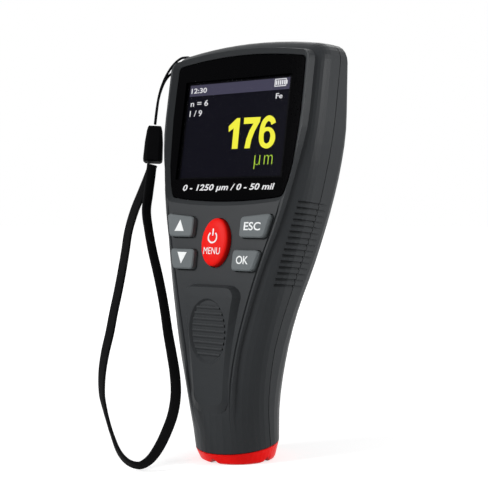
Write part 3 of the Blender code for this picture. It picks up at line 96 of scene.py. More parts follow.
class Signal:
    """One number carried through a material's nodes; arithmetic on it adds Math nodes."""

    def __init__(self, graph: Graph, socket: Socket) -> None:
        """Wraps an output socket of a graph."""
        self.graph = graph
        self.socket = socket

    def math(self, operation: str, *values: Value) -> Signal:
        """Adds one Math node.

        Args:
            operation: the Math node's operation.
            values: its inputs, numbers or signals.
        Returns:
            The node's result.
        """
        node = self.graph.tree.nodes.new("ShaderNodeMath")
        node.operation = operation
        for socket, value in zip(node.inputs, values):
            self.graph.feed(socket, value)
        return Signal(self.graph, node.outputs[0])

    def __add__(self, other: Value) -> Signal:
        """Sum."""
        return self.math("ADD", self, other)

    __radd__ = __add__

    def __sub__(self, other: Value) -> Signal:
        """Difference."""
        return self.math("SUBTRACT", self, other)

    def __rsub__(self, other: Value) -> Signal:
        """Difference from a number."""
        return self.math("SUBTRACT", other, self)

    def __mul__(self, other: Value) -> Signal:
        """Product."""
        return self.math("MULTIPLY", self, other)

    def __truediv__(self, other: Value) -> Signal:
        """Quotient."""
        return self.math("DIVIDE", self, other)

    def __gt__(self, other: Value) -> Signal:
        """1 where this is greater."""
        return self.math("GREATER_THAN", self, other)

    def __lt__(self, other: Value) -> Signal:
        """1 where this is less."""
        return self.math("LESS_THAN", self, other)

    def __abs__(self) -> Signal:
        """Size without sign."""
        return self.math("ABSOLUTE", self)

    def sine(self) -> Signal:
        """Sine of radians."""
        return self.math("SINE", self)

    def greatest(self, *others: Value) -> Signal:
        """The greatest of this and the others."""
        found = self
        for other in others:
            found = found.math("MAXIMUM", found, other)
        return found


class Graph:
    """A material round one Principled shader, with one method for every node."""

    def __init__(self, name: str) -> None:
        """Starts the material with its shader."""
        self.material = bpy.data.materials.new(name)
        self.material.use_nodes = True
        self.tree = self.material.node_tree
        self.shader = self.tree.nodes["Principled BSDF"]
        self._place: Optional[Socket] = None

    def feed(self, socket: Socket, value: object) -> None:
        """Links a signal or socket to an input, or sets the input's value."""
        if isinstance(value, Signal):
            value = value.socket
        if isinstance(value, Socket):
            self.tree.links.new(value, socket)
        else:
            socket.default_value = value

    def add(self, kind: str, settings: Optional[dict] = None, **inputs: object) -> bpy.types.Node:
        """Adds any node.

        Args:
            kind: the node's type.
            settings: its properties.
            inputs: value or link of each input, by identifier or by name with _ for a space.
        Returns:
            The node.
        """
        node = self.tree.nodes.new(kind)
        for key, value in (settings or {}).items():
            setattr(node, key, value)
        for key, value in inputs.items():
            names = (key, key.replace("_", " "))
            socket = next(s for s in node.inputs if s.identifier in names or s.name in names)
            self.feed(socket, value)
        return node

    @property
    def place(self) -> Socket:
        """Object coordinates, in metres."""
        if self._place is None:
            self._place = self.add("ShaderNodeTexCoord").outputs["Object"]
        return self._place

    def axes(self, vector: Socket) -> Tuple[Signal, Signal, Signal]:
        """Splits a vector into its three numbers."""
        node = self.add("ShaderNodeSeparateXYZ", Vector=vector)
        return tuple(Signal(self, socket) for socket in node.outputs)

    def stretched(self, scale: Triple) -> Socket:
        """Returns object coordinates scaled along each axis."""
        node = self.add("ShaderNodeMapping", Vector=self.place, Scale=scale)
        return node.outputs["Vector"]

    def noise(self, grain: float, detail: float, vector: Optional[Socket] = None) -> Signal:
        """Noise between 0 and 1 whose blots are about grain metres wide."""
        node = self.add("ShaderNodeTexNoise", Vector=vector or self.place, Scale=1 / grain, Detail=detail)
        return Signal(self, node.outputs[0])

    def cells(self, grain: float) -> Signal:
        """Distance to the nearest of random points about grain metres apart."""
        node = self.add("ShaderNodeTexVoronoi", Vector=self.place, Scale=1 / grain)
        return Signal(self, node.outputs["Distance"])

    def mix(self, factor: Value, low: object, high: object) -> Socket:
        """Mixes two colours, each a colour or a socket."""
        sides = [(*side, 1.0) if isinstance(side, tuple) else side for side in (low, high)]
        node = self.add("ShaderNodeMix", {"data_type": "RGBA"}, Factor_Float=factor, A_Color=sides[0],
                        B_Color=sides[1])
        return next(s for s in node.outputs if s.identifier == "Result_Color")

    def set(self, **inputs: object) -> None:
        """Sets or links the shader's own inputs."""
        for key, value in inputs.items():
            if isinstance(value, tuple) and len(value) == 3:
                value = (*value, 1.0)
            self.feed(self.shader.inputs[key.replace("_", " ")], value)

    def relief(self, height: Signal, depth: float) -> None:
        """Raises a height between 0 and 1 as a bump of a depth in metres."""
        node = self.add("ShaderNodeBump", Height=height, Distance=depth, Strength=1.0)
        self.feed(self.shader.inputs["Normal"], node.outputs["Normal"])


# Finishes

@dataclass(frozen=True)
class Finish:
    """A named look; each kind paints its own nodes."""

    name: str

    def paint(self, graph: Graph) -> None:
        """Sets the shader of a new material."""
        raise NotImplementedError

    def material(self) -> Material:
        """Returns the painted material."""
        graph = Graph(self.name)
        self.paint(graph)
        return graph.material


@dataclass(frozen=True)
class Moulded(Finish):
    """Moulded plastic or rubber with a fine spark-eroded grain.

    Attributes:
        mottle: how far the colour strays to either side.
        cloud_share: the wide clouds' part of that, the rest being the grain's.
        cloud_gloss, grain_gloss: how far each moves the roughness.
        speck_ratio, speck_share: the specks' spacing in grains, and their part of the relief.
    """

    colour: Colour
    roughness: float
    grain: float = 0.25 * MM
    depth: float = 0.02 * MM
    mottle: float = 0.12
    specular: float = 0.2
    cloud_size: float = 14 * MM
    cloud_share: float = 0.7
    cloud_gloss: float = 0.12
    grain_gloss: float = 0.08
    speck_ratio: float = 1.7
    speck_share: float = 0.4

    def paint(self, graph: Graph) -> None:
        """Grain relief, faint clouding of the colour and of the gloss."""
        fine = graph.noise(self.grain, 3.0)
        cloud = graph.noise(self.cloud_size, 3.0)
        specks = graph.cells(self.grain * self.speck_ratio)
        stray = cloud * self.cloud_share + fine * (1 - self.cloud_share)
        tone = graph.mix(stray, scaled(self.colour, 1 - self.mottle), scaled(self.colour, 1 + self.mottle))
        gloss = self.roughness + (cloud - 0.5) * self.cloud_gloss + (fine - 0.5) * self.grain_gloss
        graph.set(Base_Color=tone, Roughness=gloss, Specular_IOR_Level=self.specular)
        graph.relief(fine * (1 - self.speck_share) + specks * self.speck_share, self.depth)


@dataclass(frozen=True)
class Metal(Finish):
    """Turned, rolled or plated metal with fine marks along one direction."""

    colour: Colour
    roughness: float
    stretch: Triple
    grain: float = 0.12 * MM
    cloud_size: float = 5 * MM
    dulled: float = 0.8
    mark_share: float = 0.6
    mark_gloss: float = 0.18
    cloud_gloss: float = 0.1
    mark_depth: float = 0.006 * MM

    def paint(self, graph: Graph) -> None:
        """Tool marks drawn out by the stretch, with uneven gloss."""
        marks = graph.noise(self.grain, 4.0, graph.stretched(self.stretch))
        cloud = graph.noise(self.cloud_size, 2.0)
        stray = marks * self.mark_share + cloud * (1 - self.mark_share)
        tone = graph.mix(stray, scaled(self.colour, self.dulled), self.colour)
        gloss = self.roughness + (marks - 0.5) * self.mark_gloss + (cloud - 0.5) * self.cloud_gloss
        graph.set(Base_Color=tone, Metallic=1.0, Roughness=gloss)
        graph.relief(marks, self.mark_depth)


@dataclass(frozen=True)
class Area:
    """A rectangle on the face; its centre is along u, and low and high are along v."""

    centre: float
    half_width: float
    low: float
    high: float

    def inside(self, graph: Graph) -> Tuple[Signal, Signal]:
        """Returns 1 inside the rectangle and 0 outside, and the distance along v."""
        across, along = FACE.coordinates(graph)
        middle, half_height = (self.low + self.high) / 2, (self.high - self.low) / 2
        inside = (abs(across - self.centre) < self.half_width) * (abs(along - middle) < half_height)
        return inside, along


@dataclass(frozen=True)
class SmokedWindow(Finish):
    """Glossy window: black printed border round a clear rectangle; haze is what the clear part hides."""

    clear: Area
    haze: float = 0.08
    black: Colour = srgb(1, 1, 2)
    dusty: Colour = srgb(3, 3, 4)
    polish: float = 0.05
    dust_size: float = 0.5 * MM
    specular: float = 0.017

    def paint(self, graph: Graph) -> None:
        """Light comes through only inside the clear rectangle."""
        inside, _ = self.clear.inside(graph)
        dust = graph.noise(self.dust_size, 4.0)
        graph.set(Base_Color=graph.mix(dust, self.black, self.dusty), Alpha=1 - inside * (1 - self.haze),
                  Roughness=self.polish + dust * self.polish, Specular_IOR_Level=self.specular)


@dataclass(frozen=True)
class Lit(Finish):
    """Anything that glows evenly, such as a reading; a faint ripple of pixels breaks it up."""

    colour: Colour
    ripple: float = 0.06
    pixel: float = 0.3 * MM
    unlit: float = 0.1

    def paint(self, graph: Graph) -> None:
        """Emission with the ripple in it, over a dark base."""
        glow = graph.mix(graph.noise(self.pixel, 1.0), scaled(self.colour, 1 - self.ripple), self.colour)
        graph.set(Base_Color=scaled(self.colour, self.unlit), Emission_Color=glow, Emission_Strength=1.0,
                  Roughness=0.4, Specular_IOR_Level=0.1)


@dataclass(frozen=True)
class LiquidCrystal(Finish):
    """The lit panel: a dark field with a paler bar along its top and a black edge."""

    lit: Area
    bar: float
    field_colour: Colour = srgb(6, 6, 17)
    bar_colour: Colour = srgb(72, 70, 90)
    edge_colour: Colour = (0.0008, 0.0008, 0.001)
    unlit: Colour = (0.004, 0.004, 0.005)
    patch_size: float = 9 * MM
    patch_share: float = 0.4
    patch_gain: float = 1.25

    def paint(self, graph: Graph) -> None:
        """The backlight's faint patches in the field, cut by steps along the face."""
        inside, along = self.lit.inside(graph)
        bar = inside * (along > self.lit.high - self.bar)
        patches = graph.noise(self.patch_size, 1.0) * self.patch_share
        field = graph.mix(patches, self.field_colour, scaled(self.field_colour, self.patch_gain))
        colour = graph.mix(inside, self.edge_colour, graph.mix(bar, field, self.bar_colour))
        graph.set(Base_Color=self.unlit, Emission_Color=colour, Emission_Strength=1.0, Roughness=0.12,
                  Specular_IOR_Level=0.02)


@dataclass(frozen=True)
class CircuitBoard(Finish):
    """Green board with copper tracks under the mask and tinned pads."""

    mask: Colour = srgb(18, 84, 44)
    track: Colour = srgb(34, 118, 60)
    pad: Colour = srgb(196, 190, 170)
    track_rate: float = 1400.0
    cell_size: float = 9 * MM
    bends: Pair = (14.0, 9.0)
    track_level: float = 0.35
    pad_spacing: float = 2.6 * MM
    pad_size: float = 0.16
    gloss: Pair = (0.38, 0.28)
    track_share: float = 0.6
    depth: float = 0.03 * MM

    def paint(self, graph: Graph) -> None:
        """Tracks are stripes bent by cell borders, pads are small dots."""
        x, _, z = graph.axes(graph.place)
        bend = graph.cells(self.cell_size)
        first = (x * self.track_rate + bend * self.bends[0]).sine()
        second = (z * self.track_rate + bend * self.bends[1]).sine()
        stripes = (first * second) > self.track_level
        pads = graph.cells(self.pad_spacing) < self.pad_size
        colour = graph.mix(pads, graph.mix(stripes, self.mask, self.track), self.pad)
        mask, solder = self.gloss
        graph.set(Base_Color=colour, Roughness=mask + pads * (solder - mask), Specular_IOR_Level=0.5)
        graph.relief(stripes * self.track_share + pads * (1 - self.track_share), self.depth)


@dataclass(frozen=True)
class CellJacket(Finish):
    """Shrink film of a battery cell: a copper-coloured end band on a dark body."""

    body: Colour = srgb(28, 30, 34)
    band: Colour = srgb(176, 116, 62)
    metal: Colour = (0.6, 0.6, 0.58)
    base: float = 26 * MM
    length: float = 47 * MM
    band_from: float = 0.68
    metal_from: float = 0.49
    gloss: float = 0.28
    scuff_gloss: float = 0.12
    scuff_size: float = 0.8 * MM
    scuff_depth: float = 0.01 * MM

    def paint(self, graph: Graph) -> None:
        """Bands by height, with bare metal at both ends."""
        _, _, z = graph.axes(graph.place)
        share = (z - self.base) / self.length
        metal = abs(share - 0.5) > self.metal_from
        scuffs = graph.noise(self.scuff_size, 3.0)
        film = graph.mix(share > self.band_from, self.body, self.band)
        graph.set(Base_Color=graph.mix(metal, film, self.metal), Metallic=metal,
                  Roughness=self.gloss + scuffs * self.scuff_gloss)
        graph.relief(scuffs, self.scuff_depth)


@dataclass(frozen=True)
class Woven(Finish):
    """Tightly woven tape or braided cord; UV runs along the piece and across it, in metres."""

    colour: Colour
    pick: float
    slope: float
    depth: float
    fuzz_size: float = 0.15 * MM
    fuzz_gain: float = 2.4
    fuzz_lift: float = 0.004
    fuzz_gloss: float = 0.2
    yarn_tone: float = 0.6
    yarn_relief: float = 0.8
    roughness: float = 0.75
    shine: float = 0.03

    def paint(self, graph: Graph) -> None:
        """Two crossing sets of diagonal yarns, each a sine wave."""
        along, across, _ = graph.axes(graph.add("ShaderNodeTexCoord").outputs["UV"])
        turn = 2 * math.pi / self.pick
        left = (along * turn + across * (turn * self.slope)).sine()
        right = (along * turn - across * (turn * self.slope)).sine()
        yarn = abs(left * right)
        fuzz = graph.noise(self.fuzz_size, 4.0)
        pale = tuple(min(c * self.fuzz_gain + self.fuzz_lift, 1.0) for c in self.colour)
        tone = graph.mix(yarn * self.yarn_tone + fuzz * (1 - self.yarn_tone), self.colour, pale)
        graph.set(Base_Color=tone, Roughness=self.roughness + fuzz * self.fuzz_gloss, Sheen_Roughness=0.5,
                  Specular_IOR_Level=self.shine, Sheen_Weight=self.shine)
        graph.relief(yarn * self.yarn_relief + fuzz * (1 - self.yarn_relief), self.depth)


# Surfaces

@dataclass(frozen=True)
class Plane:
    """A flat frame with directions u, v and out."""

    origin: Vector
    u: Vector
    v: Vector
    out: Vector

    def lay(self, flat: np.ndarray, at: Pair) -> np.ndarray:
        """Places points on the frame.

        Args:
            flat: array of (u, v, out) rows.
            at: where their own zero goes.
        Returns:
            The points in the model's frame.
        """
        axes = np.array([self.u, self.v, self.out])
        return np.array(self.origin) + (flat + np.array([*at, 0.0])) @ axes

    def coordinates(self, graph: Graph) -> Tuple[Signal, Signal]:
        """Returns a surface point's distances along u and v as signals."""
        shift = graph.add("ShaderNodeVectorMath", {"operation": "SUBTRACT"})
        graph.feed(shift.inputs[0], graph.place)
        graph.feed(shift.inputs[1], self.origin)
        found = []
        for direction in (self.u, self.v):
            dot = graph.add("ShaderNodeVectorMath", {"operation": "DOT_PRODUCT"})
            graph.feed(dot.inputs[0], shift.outputs["Vector"])
            graph.feed(dot.inputs[1], direction)
            found.append(Signal(graph, dot.outputs["Value"]))
        return tuple(found)


LEAN = math.radians(10.3)
FACE = Plane(Vector((0.0, -13.25 * MM, 78.3 * MM)), Vector((1.0, 0.0, 0.0)),
             Vector((0.0, math.sin(LEAN), math.cos(LEAN))), Vector((0.0, -math.cos(LEAN), math.sin(LEAN))))
SHARP_ANGLE = math.radians(35.0)


def surface(name: str, grid: np.ndarray, material: Material,
            lengths: Optional[np.ndarray] = None) -> Piece:
    """Makes an object from a grid of points whose columns close into rings, with a face at both ends.

    Each quad joins point (i, j) to (i, j + 1), (i + 1, j + 1) and (i + 1, j), with j taken round.

    Args:
        name: the piece's name.
        grid: array (rows, columns, 3).
        material: its finish.
        lengths: distance of each row along the piece, for UV; none leaves UV out.
    Returns:
        The object, at the origin.
    """
    rows, columns, _ = grid.shape
    i, j = np.meshgrid(np.arange(rows - 1), np.arange(columns), indexing="ij")
    after = (j + 1) % columns
    near, far = i * columns, (i + 1) * columns
    quads = np.stack([near + j, near + after, far + after, far + j], -1).reshape(-1, 4)
    ring = np.arange(columns)
    corners = np.concatenate([quads.ravel(), ring[::-1], (rows - 1) * columns + ring]).astype(np.int32)
    begins = np.append(np.arange(len(quads) + 1) * 4, 4 * len(quads) + columns).astype(np.int32)
    mesh = bpy.data.meshes.new(name)
    mesh.vertices.add(rows * columns)
    mesh.vertices.foreach_set("co", grid.reshape(-1).astype(np.float32))
    mesh.loops.add(len(corners))
    mesh.loops.foreach_set("vertex_index", corners)
    mesh.polygons.add(len(begins))
    mesh.polygons.foreach_set("loop_start", begins)
    mesh.update(calc_edges=True)
    if lengths is not None:
        around = measured(np.concatenate([grid[0], grid[0, :1]]))
        u = np.stack([lengths[i], lengths[i], lengths[i + 1], lengths[i + 1]], -1).reshape(-1)
        v = np.stack([around[j], around[j + 1], around[j + 1], around[j]], -1).reshape(-1)
        uv = np.zeros((len(corners), 2))
        uv[:len(u), 0], uv[:len(u), 1] = u, v
        layer = mesh.uv_layers.new(name="UVMap")
        layer.data.foreach_set("uv", uv.reshape(-1).astype(np.float32))
    mesh.validate()
    mesh.materials.append(material)
    mesh.shade_smooth()
    mesh.set_sharp_from_angle(angle=SHARP_ANGLE)
    return put(name, mesh)


def prism(name: str, loop: np.ndarray, at: Pair, levels: Pair, material: Material) -> Piece:
    """A flat plate: one loop of (u, v) repeated at two heights over the sloping face."""
    rings = [np.column_stack([loop, np.full(len(loop), level)]) for level in levels]
    return surface(name, np.stack([FACE.lay(ring, at) for ring in rings]), material)


def rectangle(width: float, height: float) -> np.ndarray:
    """Corners of a rectangle round its middle, counter-clockwise."""
    return np.array([[-1, -1], [1, -1], [1, 1], [-1, 1]]) * np.array([width / 2, height / 2])


def band(centre: np.ndarray, width: Union[float, np.ndarray]) -> np.ndarray:
    """Outline of a band along an open line, one edge out and the other edge back; its width may vary."""
    step = unit(np.gradient(centre, axis=0))
    width = np.broadcast_to(width, len(centre))[:, None]
    normal = np.column_stack([step[:, 1], -step[:, 0]])
    return np.concatenate([centre + normal * width / 2, (centre - normal * width / 2)[::-1]])


def lettering(name: str, words: str, size: Pair, at: Pair, levels: Pair, material: Material,
              slant: float = 0.0, weight: float = 0.0) -> Piece:
    """Raised letters as a mesh, centred on a point of the sloping face.

    Args:
        name: the piece's name.
        words: what is printed.
        size: their width in all, and their height with the tails that hang down.
        at: their middle on the face.
        levels: heights of their underside and top over the face's plane.
        material: their finish.
        slant: how far they lean.
        weight: how much their strokes are fattened, as a share of the height.
    Returns:
        The object, at the origin.
    """
    curve = bpy.data.curves.new(name, "FONT")
    curve.body = words
    curve.align_x = "CENTER"
    curve.size = 1.0
    curve.shear = slant
    curve.offset = weight
    curve.extrude = 0.5
    curve.resolution_u = 4
    source = put(name + "_source", curve)
    bpy.context.view_layer.update()
    mesh = bpy.data.meshes.new_from_object(source)
    bpy.data.objects.remove(source)
    points = np.empty(len(mesh.vertices) * 3, np.float32)
    mesh.vertices.foreach_get("co", points)
    points = points.reshape(-1, 3).astype(float)
    low, high = points[:, :2].min(axis=0), points[:, :2].max(axis=0)
    points[:, :2] = (points[:, :2] - (low + high) / 2) / (high - low) * np.array(size)
    points[:, 2] = np.where(points[:, 2] > 0, levels[1], levels[0])
    mesh.vertices.foreach_set("co", FACE.lay(points, at).reshape(-1).astype(np.float32))
    mesh.materials.clear()
    mesh.materials.append(material)
    mesh.update()
    mesh.name = name
    return put(name, mesh)


def measured(path: np.ndarray) -> np.ndarray:
    """Distance of each point along a path."""
    return np.concatenate([[0.0], np.cumsum(np.linalg.norm(np.diff(path, axis=0), axis=1))])


def unit(rows: np.ndarray) -> np.ndarray:
    """Scales each row to length 1."""
    return rows / np.linalg.norm(rows, axis=1)[:, None]


def route(points: Points, count: int) -> np.ndarray:
    """Evenly listed points on a smooth curve through a route.

    Each coordinate is a cubic between neighbours whose slope at a point is the chord of the two
    points beside it, and zero where the coordinate turns back.

    Args:
        points: the route; two or three coordinates a point.
        count: how many points to list.
    Returns:
        Array (count, 2 or 3), in the route's own unit.
    """
    given = np.array(points, float)
    distance = measured(given)
    low = np.maximum(np.arange(len(given)) - 1, 0)
    high = np.minimum(np.arange(len(given)) + 1, len(given) - 1)
    slope = (given[high] - given[low]) / (distance[high] - distance[low])[:, None]
    turns = (given - given[low]) * (given[high] - given) <= 0
    turns[[0, -1]] = False
    slope[turns] = 0.0
    s = np.linspace(0.0, distance[-1], count)
    i = np.clip(np.searchsorted(distance, s, side="left") - 1, 0, len(given) - 2)
    span = (distance[i + 1] - distance[i])[:, None]
    t = (s - distance[i])[:, None] / span
    return (given[i] * (1 + 2 * t) * (1 - t) ** 2 + given[i + 1] * t * t * (3 - 2 * t)
            + span * (slope[i] * t * (1 - t) ** 2 - slope[i + 1] * t * t * (1 - t)))


def dress(finish: Finish, *nodes: str) -> None:
    """Gives CAD nodes one finish, in every slot."""
    material = finish.material()
    for node in nodes:
        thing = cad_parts[node]
        if not thing.material_slots:
            thing.data.materials.append(material)
        for place in thing.material_slots:
            place.material = material
        LOG.info("dressed %s with %s", node, finish.name)


def fix(piece: Piece, body: str) -> Piece:
    """Lets a piece ride on a body."""
    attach(piece, body)
    return piece


# The studio

@dataclass
class ViewCamera:
    """The camera at the photograph's place, given by its angles and its distance."""

    azimuth: float = 38.71
    pitch: float = 1.83
    roll: float = -0.28
    distance: float = 427.26 * MM
    target: Triple = (-0.30 * MM, 2.06 * MM, 76.92 * MM)
    focal_pixels: float = 1179.2
    frame_pixels: float = 488.0

    def build(self) -> None:
        """Places the camera; its axes are the right, up and back directions of the view."""
        turn, tip, roll = (math.radians(a) for a in (self.azimuth, self.pitch, self.roll))
        back = Vector((math.sin(turn) * math.cos(tip), -math.cos(turn) * math.cos(tip), math.sin(tip)))
        level = Vector((math.cos(turn), math.sin(turn), 0.0))
        upright = back.cross(level)
        right = level * math.cos(roll) + upright * math.sin(roll)
        up = upright * math.cos(roll) - level * math.sin(roll)
        data = bpy.data.cameras.new("view_camera")
        data.sensor_width = 36.0
        data.sensor_fit = "HORIZONTAL"
        data.lens = data.sensor_width * self.focal_pixels / self.frame_pixels
        data.clip_start = 0.01
        camera = put("view_camera", data)
        place = Vector(self.target) + back * self.distance
        camera.matrix_world = Matrix.Translation(place) @ Matrix((right, up, back)).transposed().to_4x4()
        bpy.context.scene.camera = camera


class Lamp(Enum):
    """The studio's lamps: place, target, size in metres and power in watts."""

    FRONT = ((-0.294, -0.630, 0.381), (0.0, 0.0, 0.10), 0.25, 5.0)
    RIGHT = ((0.288, 0.125, 0.182), (0.02, 0.0, 0.13), 0.14, 0.7)
    BACK = ((-0.30, 0.65, 0.40), (0.0, 0.0, 0.08), 0.40, 1.0)


@dataclass
class Studio:
    """White floor and surroundings with soft lamps."""

    floor_size: float = 8.0
    world_strength: float = 0.25
    floor_glow: float = 0.60
    glow_near: float = 0.10
    glow_far: float = 0.60
    bounced: Colour = (0.60, 0.60, 0.60)
    shown: Colour = (0.65, 0.65, 0.65)
    rays: Tuple[str, ...] = ("Is Camera Ray", "Is Glossy Ray", "Is Transmission Ray")

    def floor(self) -> None:
        """Lays the floor, which glows where it is shown, most of all away from the object."""
        graph = Graph("studio_floor")
        path = graph.add("ShaderNodeLightPath").outputs
        seen, *others = (Signal(graph, path[ray]) for ray in self.rays)
        shown = seen.greatest(*others)
        reach = graph.add("ShaderNodeVectorMath", {"operation": "LENGTH"}, Vector=graph.place)
        share = (Signal(graph, reach.outputs["Value"]) - self.glow_near) / (self.glow_far - self.glow_near)
        share = share.math("MINIMUM", share, 1.0).greatest(0.0)
        glow = shown * (share * (1 - self.floor_glow) + self.floor_glow)
        graph.set(Base_Color=graph.mix(shown, self.bounced, self.shown), Roughness=0.9,
                  Specular_IOR_Level=0.0, Emission_Strength=1.0,
                  Emission_Color=graph.mix(glow, (0.0, 0.0, 0.0), (1.0, 1.0, 1.0)))
        corners = [(x, y, 0.0) for x, y in rectangle(self.floor_size, self.floor_size)]
        mesh = bpy.data.meshes.new("floor")
        mesh.from_pydata(corners, [], [(0, 1, 2, 3)])
        mesh.materials.append(graph.material)
        put("floor", mesh)

    def sky(self) -> None:
        """World: white to the camera and in reflections, dimmer as light."""
        world = bpy.data.worlds.new("studio")
        world.use_nodes = True
        bpy.context.scene.world = world
        tree = world.node_tree
        background = tree.nodes["Background"]
        background.inputs["Color"].default_value = (1.0, 1.0, 1.0, 1.0)
        path = tree.nodes.new("ShaderNodeLightPath")
        shown = path.outputs[self.rays[0]]
        for ray in self.rays[1:]:
            either = tree.nodes.new("ShaderNodeMath")
            either.operation = "MAXIMUM"
            tree.links.new(shown, either.inputs[0])
            tree.links.new(path.outputs[ray], either.inputs[1])
            shown = either.outputs[0]
        level = tree.nodes.new("ShaderNodeMapRange")
        tree.links.new(shown, level.inputs["Value"])
        level.inputs["To Min"].default_value = self.world_strength
        level.inputs["To Max"].default_value = 1.0
        tree.links.new(level.outputs["Result"], background.inputs["Strength"])

    def lamps(self) -> None:
        """Hangs the soft lamps."""
        for lamp in Lamp:
            place, target, size, power = lamp.value
            data = bpy.data.lights.new(f"lamp_{lamp.name.lower()}", "AREA")
            data.size = size
            data.energy = power
            aim = Vector(target) - Vector(place)
            turn = aim.to_track_quat("-Z", "Y").to_matrix().to_4x4()
            put(data.name, data).matrix_world = Matrix.Translation(Vector(place)) @ turn

    def build(self) -> None:
        """Sets up the whole studio."""
        self.floor()
        self.sky()
        self.lamps()
        bpy.context.scene.view_settings.view_transform = "Standard"


# The wrist strap

@dataclass
class WristStrap:
    """Thin cord through the case's corner, moulded sleeve and loop of webbing; routes are in millimetres.

    Attributes:
        cord_fill: the drawn share of the cord's diameter.
        shift: moves both routes together.
        corner, hole_angles: where the case's two holes start from, and their directions in degrees.
        bend: radius of the cord's turn behind the corner.
        mouth: how far the holes' mouths are from the corner's centre.
        edge_power, face_power: how square the webbing's section is across and through.
        facing: a direction that the flat side is measured from.
        twist: (share of the length, degrees) rows.
        twist_window: how many points the twist is smoothed over.
    """

    cord_diameter: float = 1.0 * MM
    cord_fill: float = 0.96
    cord_sides: int = 12
    cord_facing: Triple = (0.62, -0.78, 0.05)
    webbing_width: float = 3.9 * MM
    webbing_thickness: float = 1.2 * MM
    webbing_sides: int = 20
    edge_power: float = 0.35
    face_power: float = 0.8
    facing: Triple = (0.625, -0.78, 0.03)
    shift: Triple = (0.0, -2.65, 0.0)
    corner: Triple = (-28.425, 17.72, 141.11)
    hole_angles: Pair = (5.0, 50.0)
    bend: float = 2.0
    mouth: float = 7.7
    lower_count: int = 50
    turn_count: int = 17
    upper_count: int = 56
    loop_count: int = 260
    twist_window: int = 15
    lower_strand: Points = (
        (-43.6, 4.6, 122.2), (-44.8, 6.8, 127.4), (-46.1, 9.4, 132.8), (-46.5, 12.2, 137.8),
        (-45.5, 14.8, 141.8), (-43.2, 16.7, 143.3), (-40.2, 17.6, 142.6), (-37.4, 17.7, 141.9),
    )
    upper_strand: Points = (
        (-42.6, 3.4, 122.2), (-43.8, 5.6, 127.4), (-45.0, 8.2, 132.8), (-45.6, 11.0, 138.0),
        (-45.2, 13.8, 142.8), (-43.9, 16.2, 146.4), (-41.6, 17.5, 148.4), (-38.6, 17.8, 148.6),
        (-36.2, 17.7, 147.8),
    )
    loop_route: Points = (
        (-41.3, 0.6, 106.4), (-42.0, -1.4, 101.5), (-42.4, -4.6, 95.5), (-41.9, -9.0, 89.0),
        (-40.6, -13.6, 81.4), (-38.9, -17.1, 74.0), (-37.6, -20.3, 66.7), (-36.4, -23.6, 59.5),
        (-35.3, -27.0, 52.4), (-34.1, -30.2, 45.5), (-33.1, -33.6, 38.6), (-31.6, -36.6, 31.8),
        (-29.3, -39.0, 25.1), (-26.9, -40.1, 20.5), (-24.5, -40.9, 16.3), (-22.0, -41.5, 12.1),
        (-18.2, -42.0, 6.6), (-14.6, -41.4, 3.5), (-11.3, -39.5, 2.4), (-9.2, -37.0, 3.8),
        (-8.0, -34.2, 6.8), (-7.6, -30.1, 12.0), (-7.8, -26.0, 18.4), (-9.1, -22.9, 25.0),
        (-11.6, -20.6, 31.7), (-14.6, -18.9, 38.5), (-17.8, -17.2, 45.4), (-20.8, -15.4, 52.4),
        (-24.0, -13.7, 59.5), (-27.4, -12.2, 66.7), (-31.2, -10.6, 74.0), (-34.7, -8.8, 81.4),
        (-37.6, -7.0, 88.9), (-38.6, -4.8, 95.5), (-39.2, -3.0, 101.5), (-39.9, -1.4, 106.4),
    )
    twist: Points = (
        (0.0, 25.0), (0.12, 38.0), (0.30, 35.0), (0.36, 50.0), (0.43, 82.0), (0.48, 60.0), (0.55, 22.0),
        (0.62, 25.0), (0.75, 38.0), (0.9, 42.0), (1.0, 25.0),
    )

    def cord_path(self) -> np.ndarray:
        """Returns the cord's points in metres: up one strand, round behind the corner and down the other."""
        low, high = (math.radians(a) for a in self.hole_angles)
        half, middle = (high - low) / 2, (high + low) / 2
        reach = self.bend / math.sin(half)
        angles = (math.pi / 2 - half) * np.linspace(-1, 1, self.turn_count)
        x, y, z = self.corner
        turn = np.column_stack([
            x - reach * math.cos(middle) + self.bend * np.cos(middle - angles),
            np.full(self.turn_count, y),
            z + reach * math.sin(middle) - self.bend * np.sin(middle - angles),
        ])
        mouths = [(x - self.mouth * math.cos(a), y, z + self.mouth * math.sin(a)) for a in (low, high)]
        first = route(tuple(self.lower_strand) + (mouths[0],), self.lower_count)
        last = route((mouths[1],) + tuple(self.upper_strand)[::-1], self.upper_count)
        return (np.concatenate([first, turn, last]) + np.array(self.shift)) * MM

    def loop_path(self) -> np.ndarray:
        """Returns the webbing's points in metres."""
        return (route(self.loop_route, self.loop_count) + np.array(self.shift)) * MM

    def lay(self, piece: Piece, node: str, path: np.ndarray, start: int, width: float,
            stiffness: str) -> None:
        """Args:
            piece: the cord's mesh.
            node: the CAD node that it replaces.
            path: its centre line; not used.
            start: index of the path's point that leaves what holds the cord; not used.
            width: its diameter or width; not used.
            stiffness: how it bends; not used.
        """
        fix(piece, "case")
        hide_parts(node)

    def cord(self) -> None:
        """Adds the cord: a ring carried along the path, square to it."""
        path = self.cord_path()
        step = unit(np.gradient(path, axis=0))
        side = unit(np.cross(step, np.array(self.cord_facing)))
        other = np.cross(step, side)
        angle = np.linspace(0, 2 * math.pi, self.cord_sides, endpoint=False)
        radius = self.cord_diameter / 2 * self.cord_fill
        ring = np.cos(angle)[None, :, None] * side[:, None] + np.sin(angle)[None, :, None] * other[:, None]
        finish = Woven("cord_braid", srgb(8, 8, 10), pick=0.7 * MM, slope=1.2, depth=0.06 * MM).material()
        piece = surface("wrist_cord", path[:, None] + radius * ring, finish, lengths=measured(path))
        self.lay(piece, "strap_cord", path, self.lower_count - 1, self.cord_diameter, "limp")

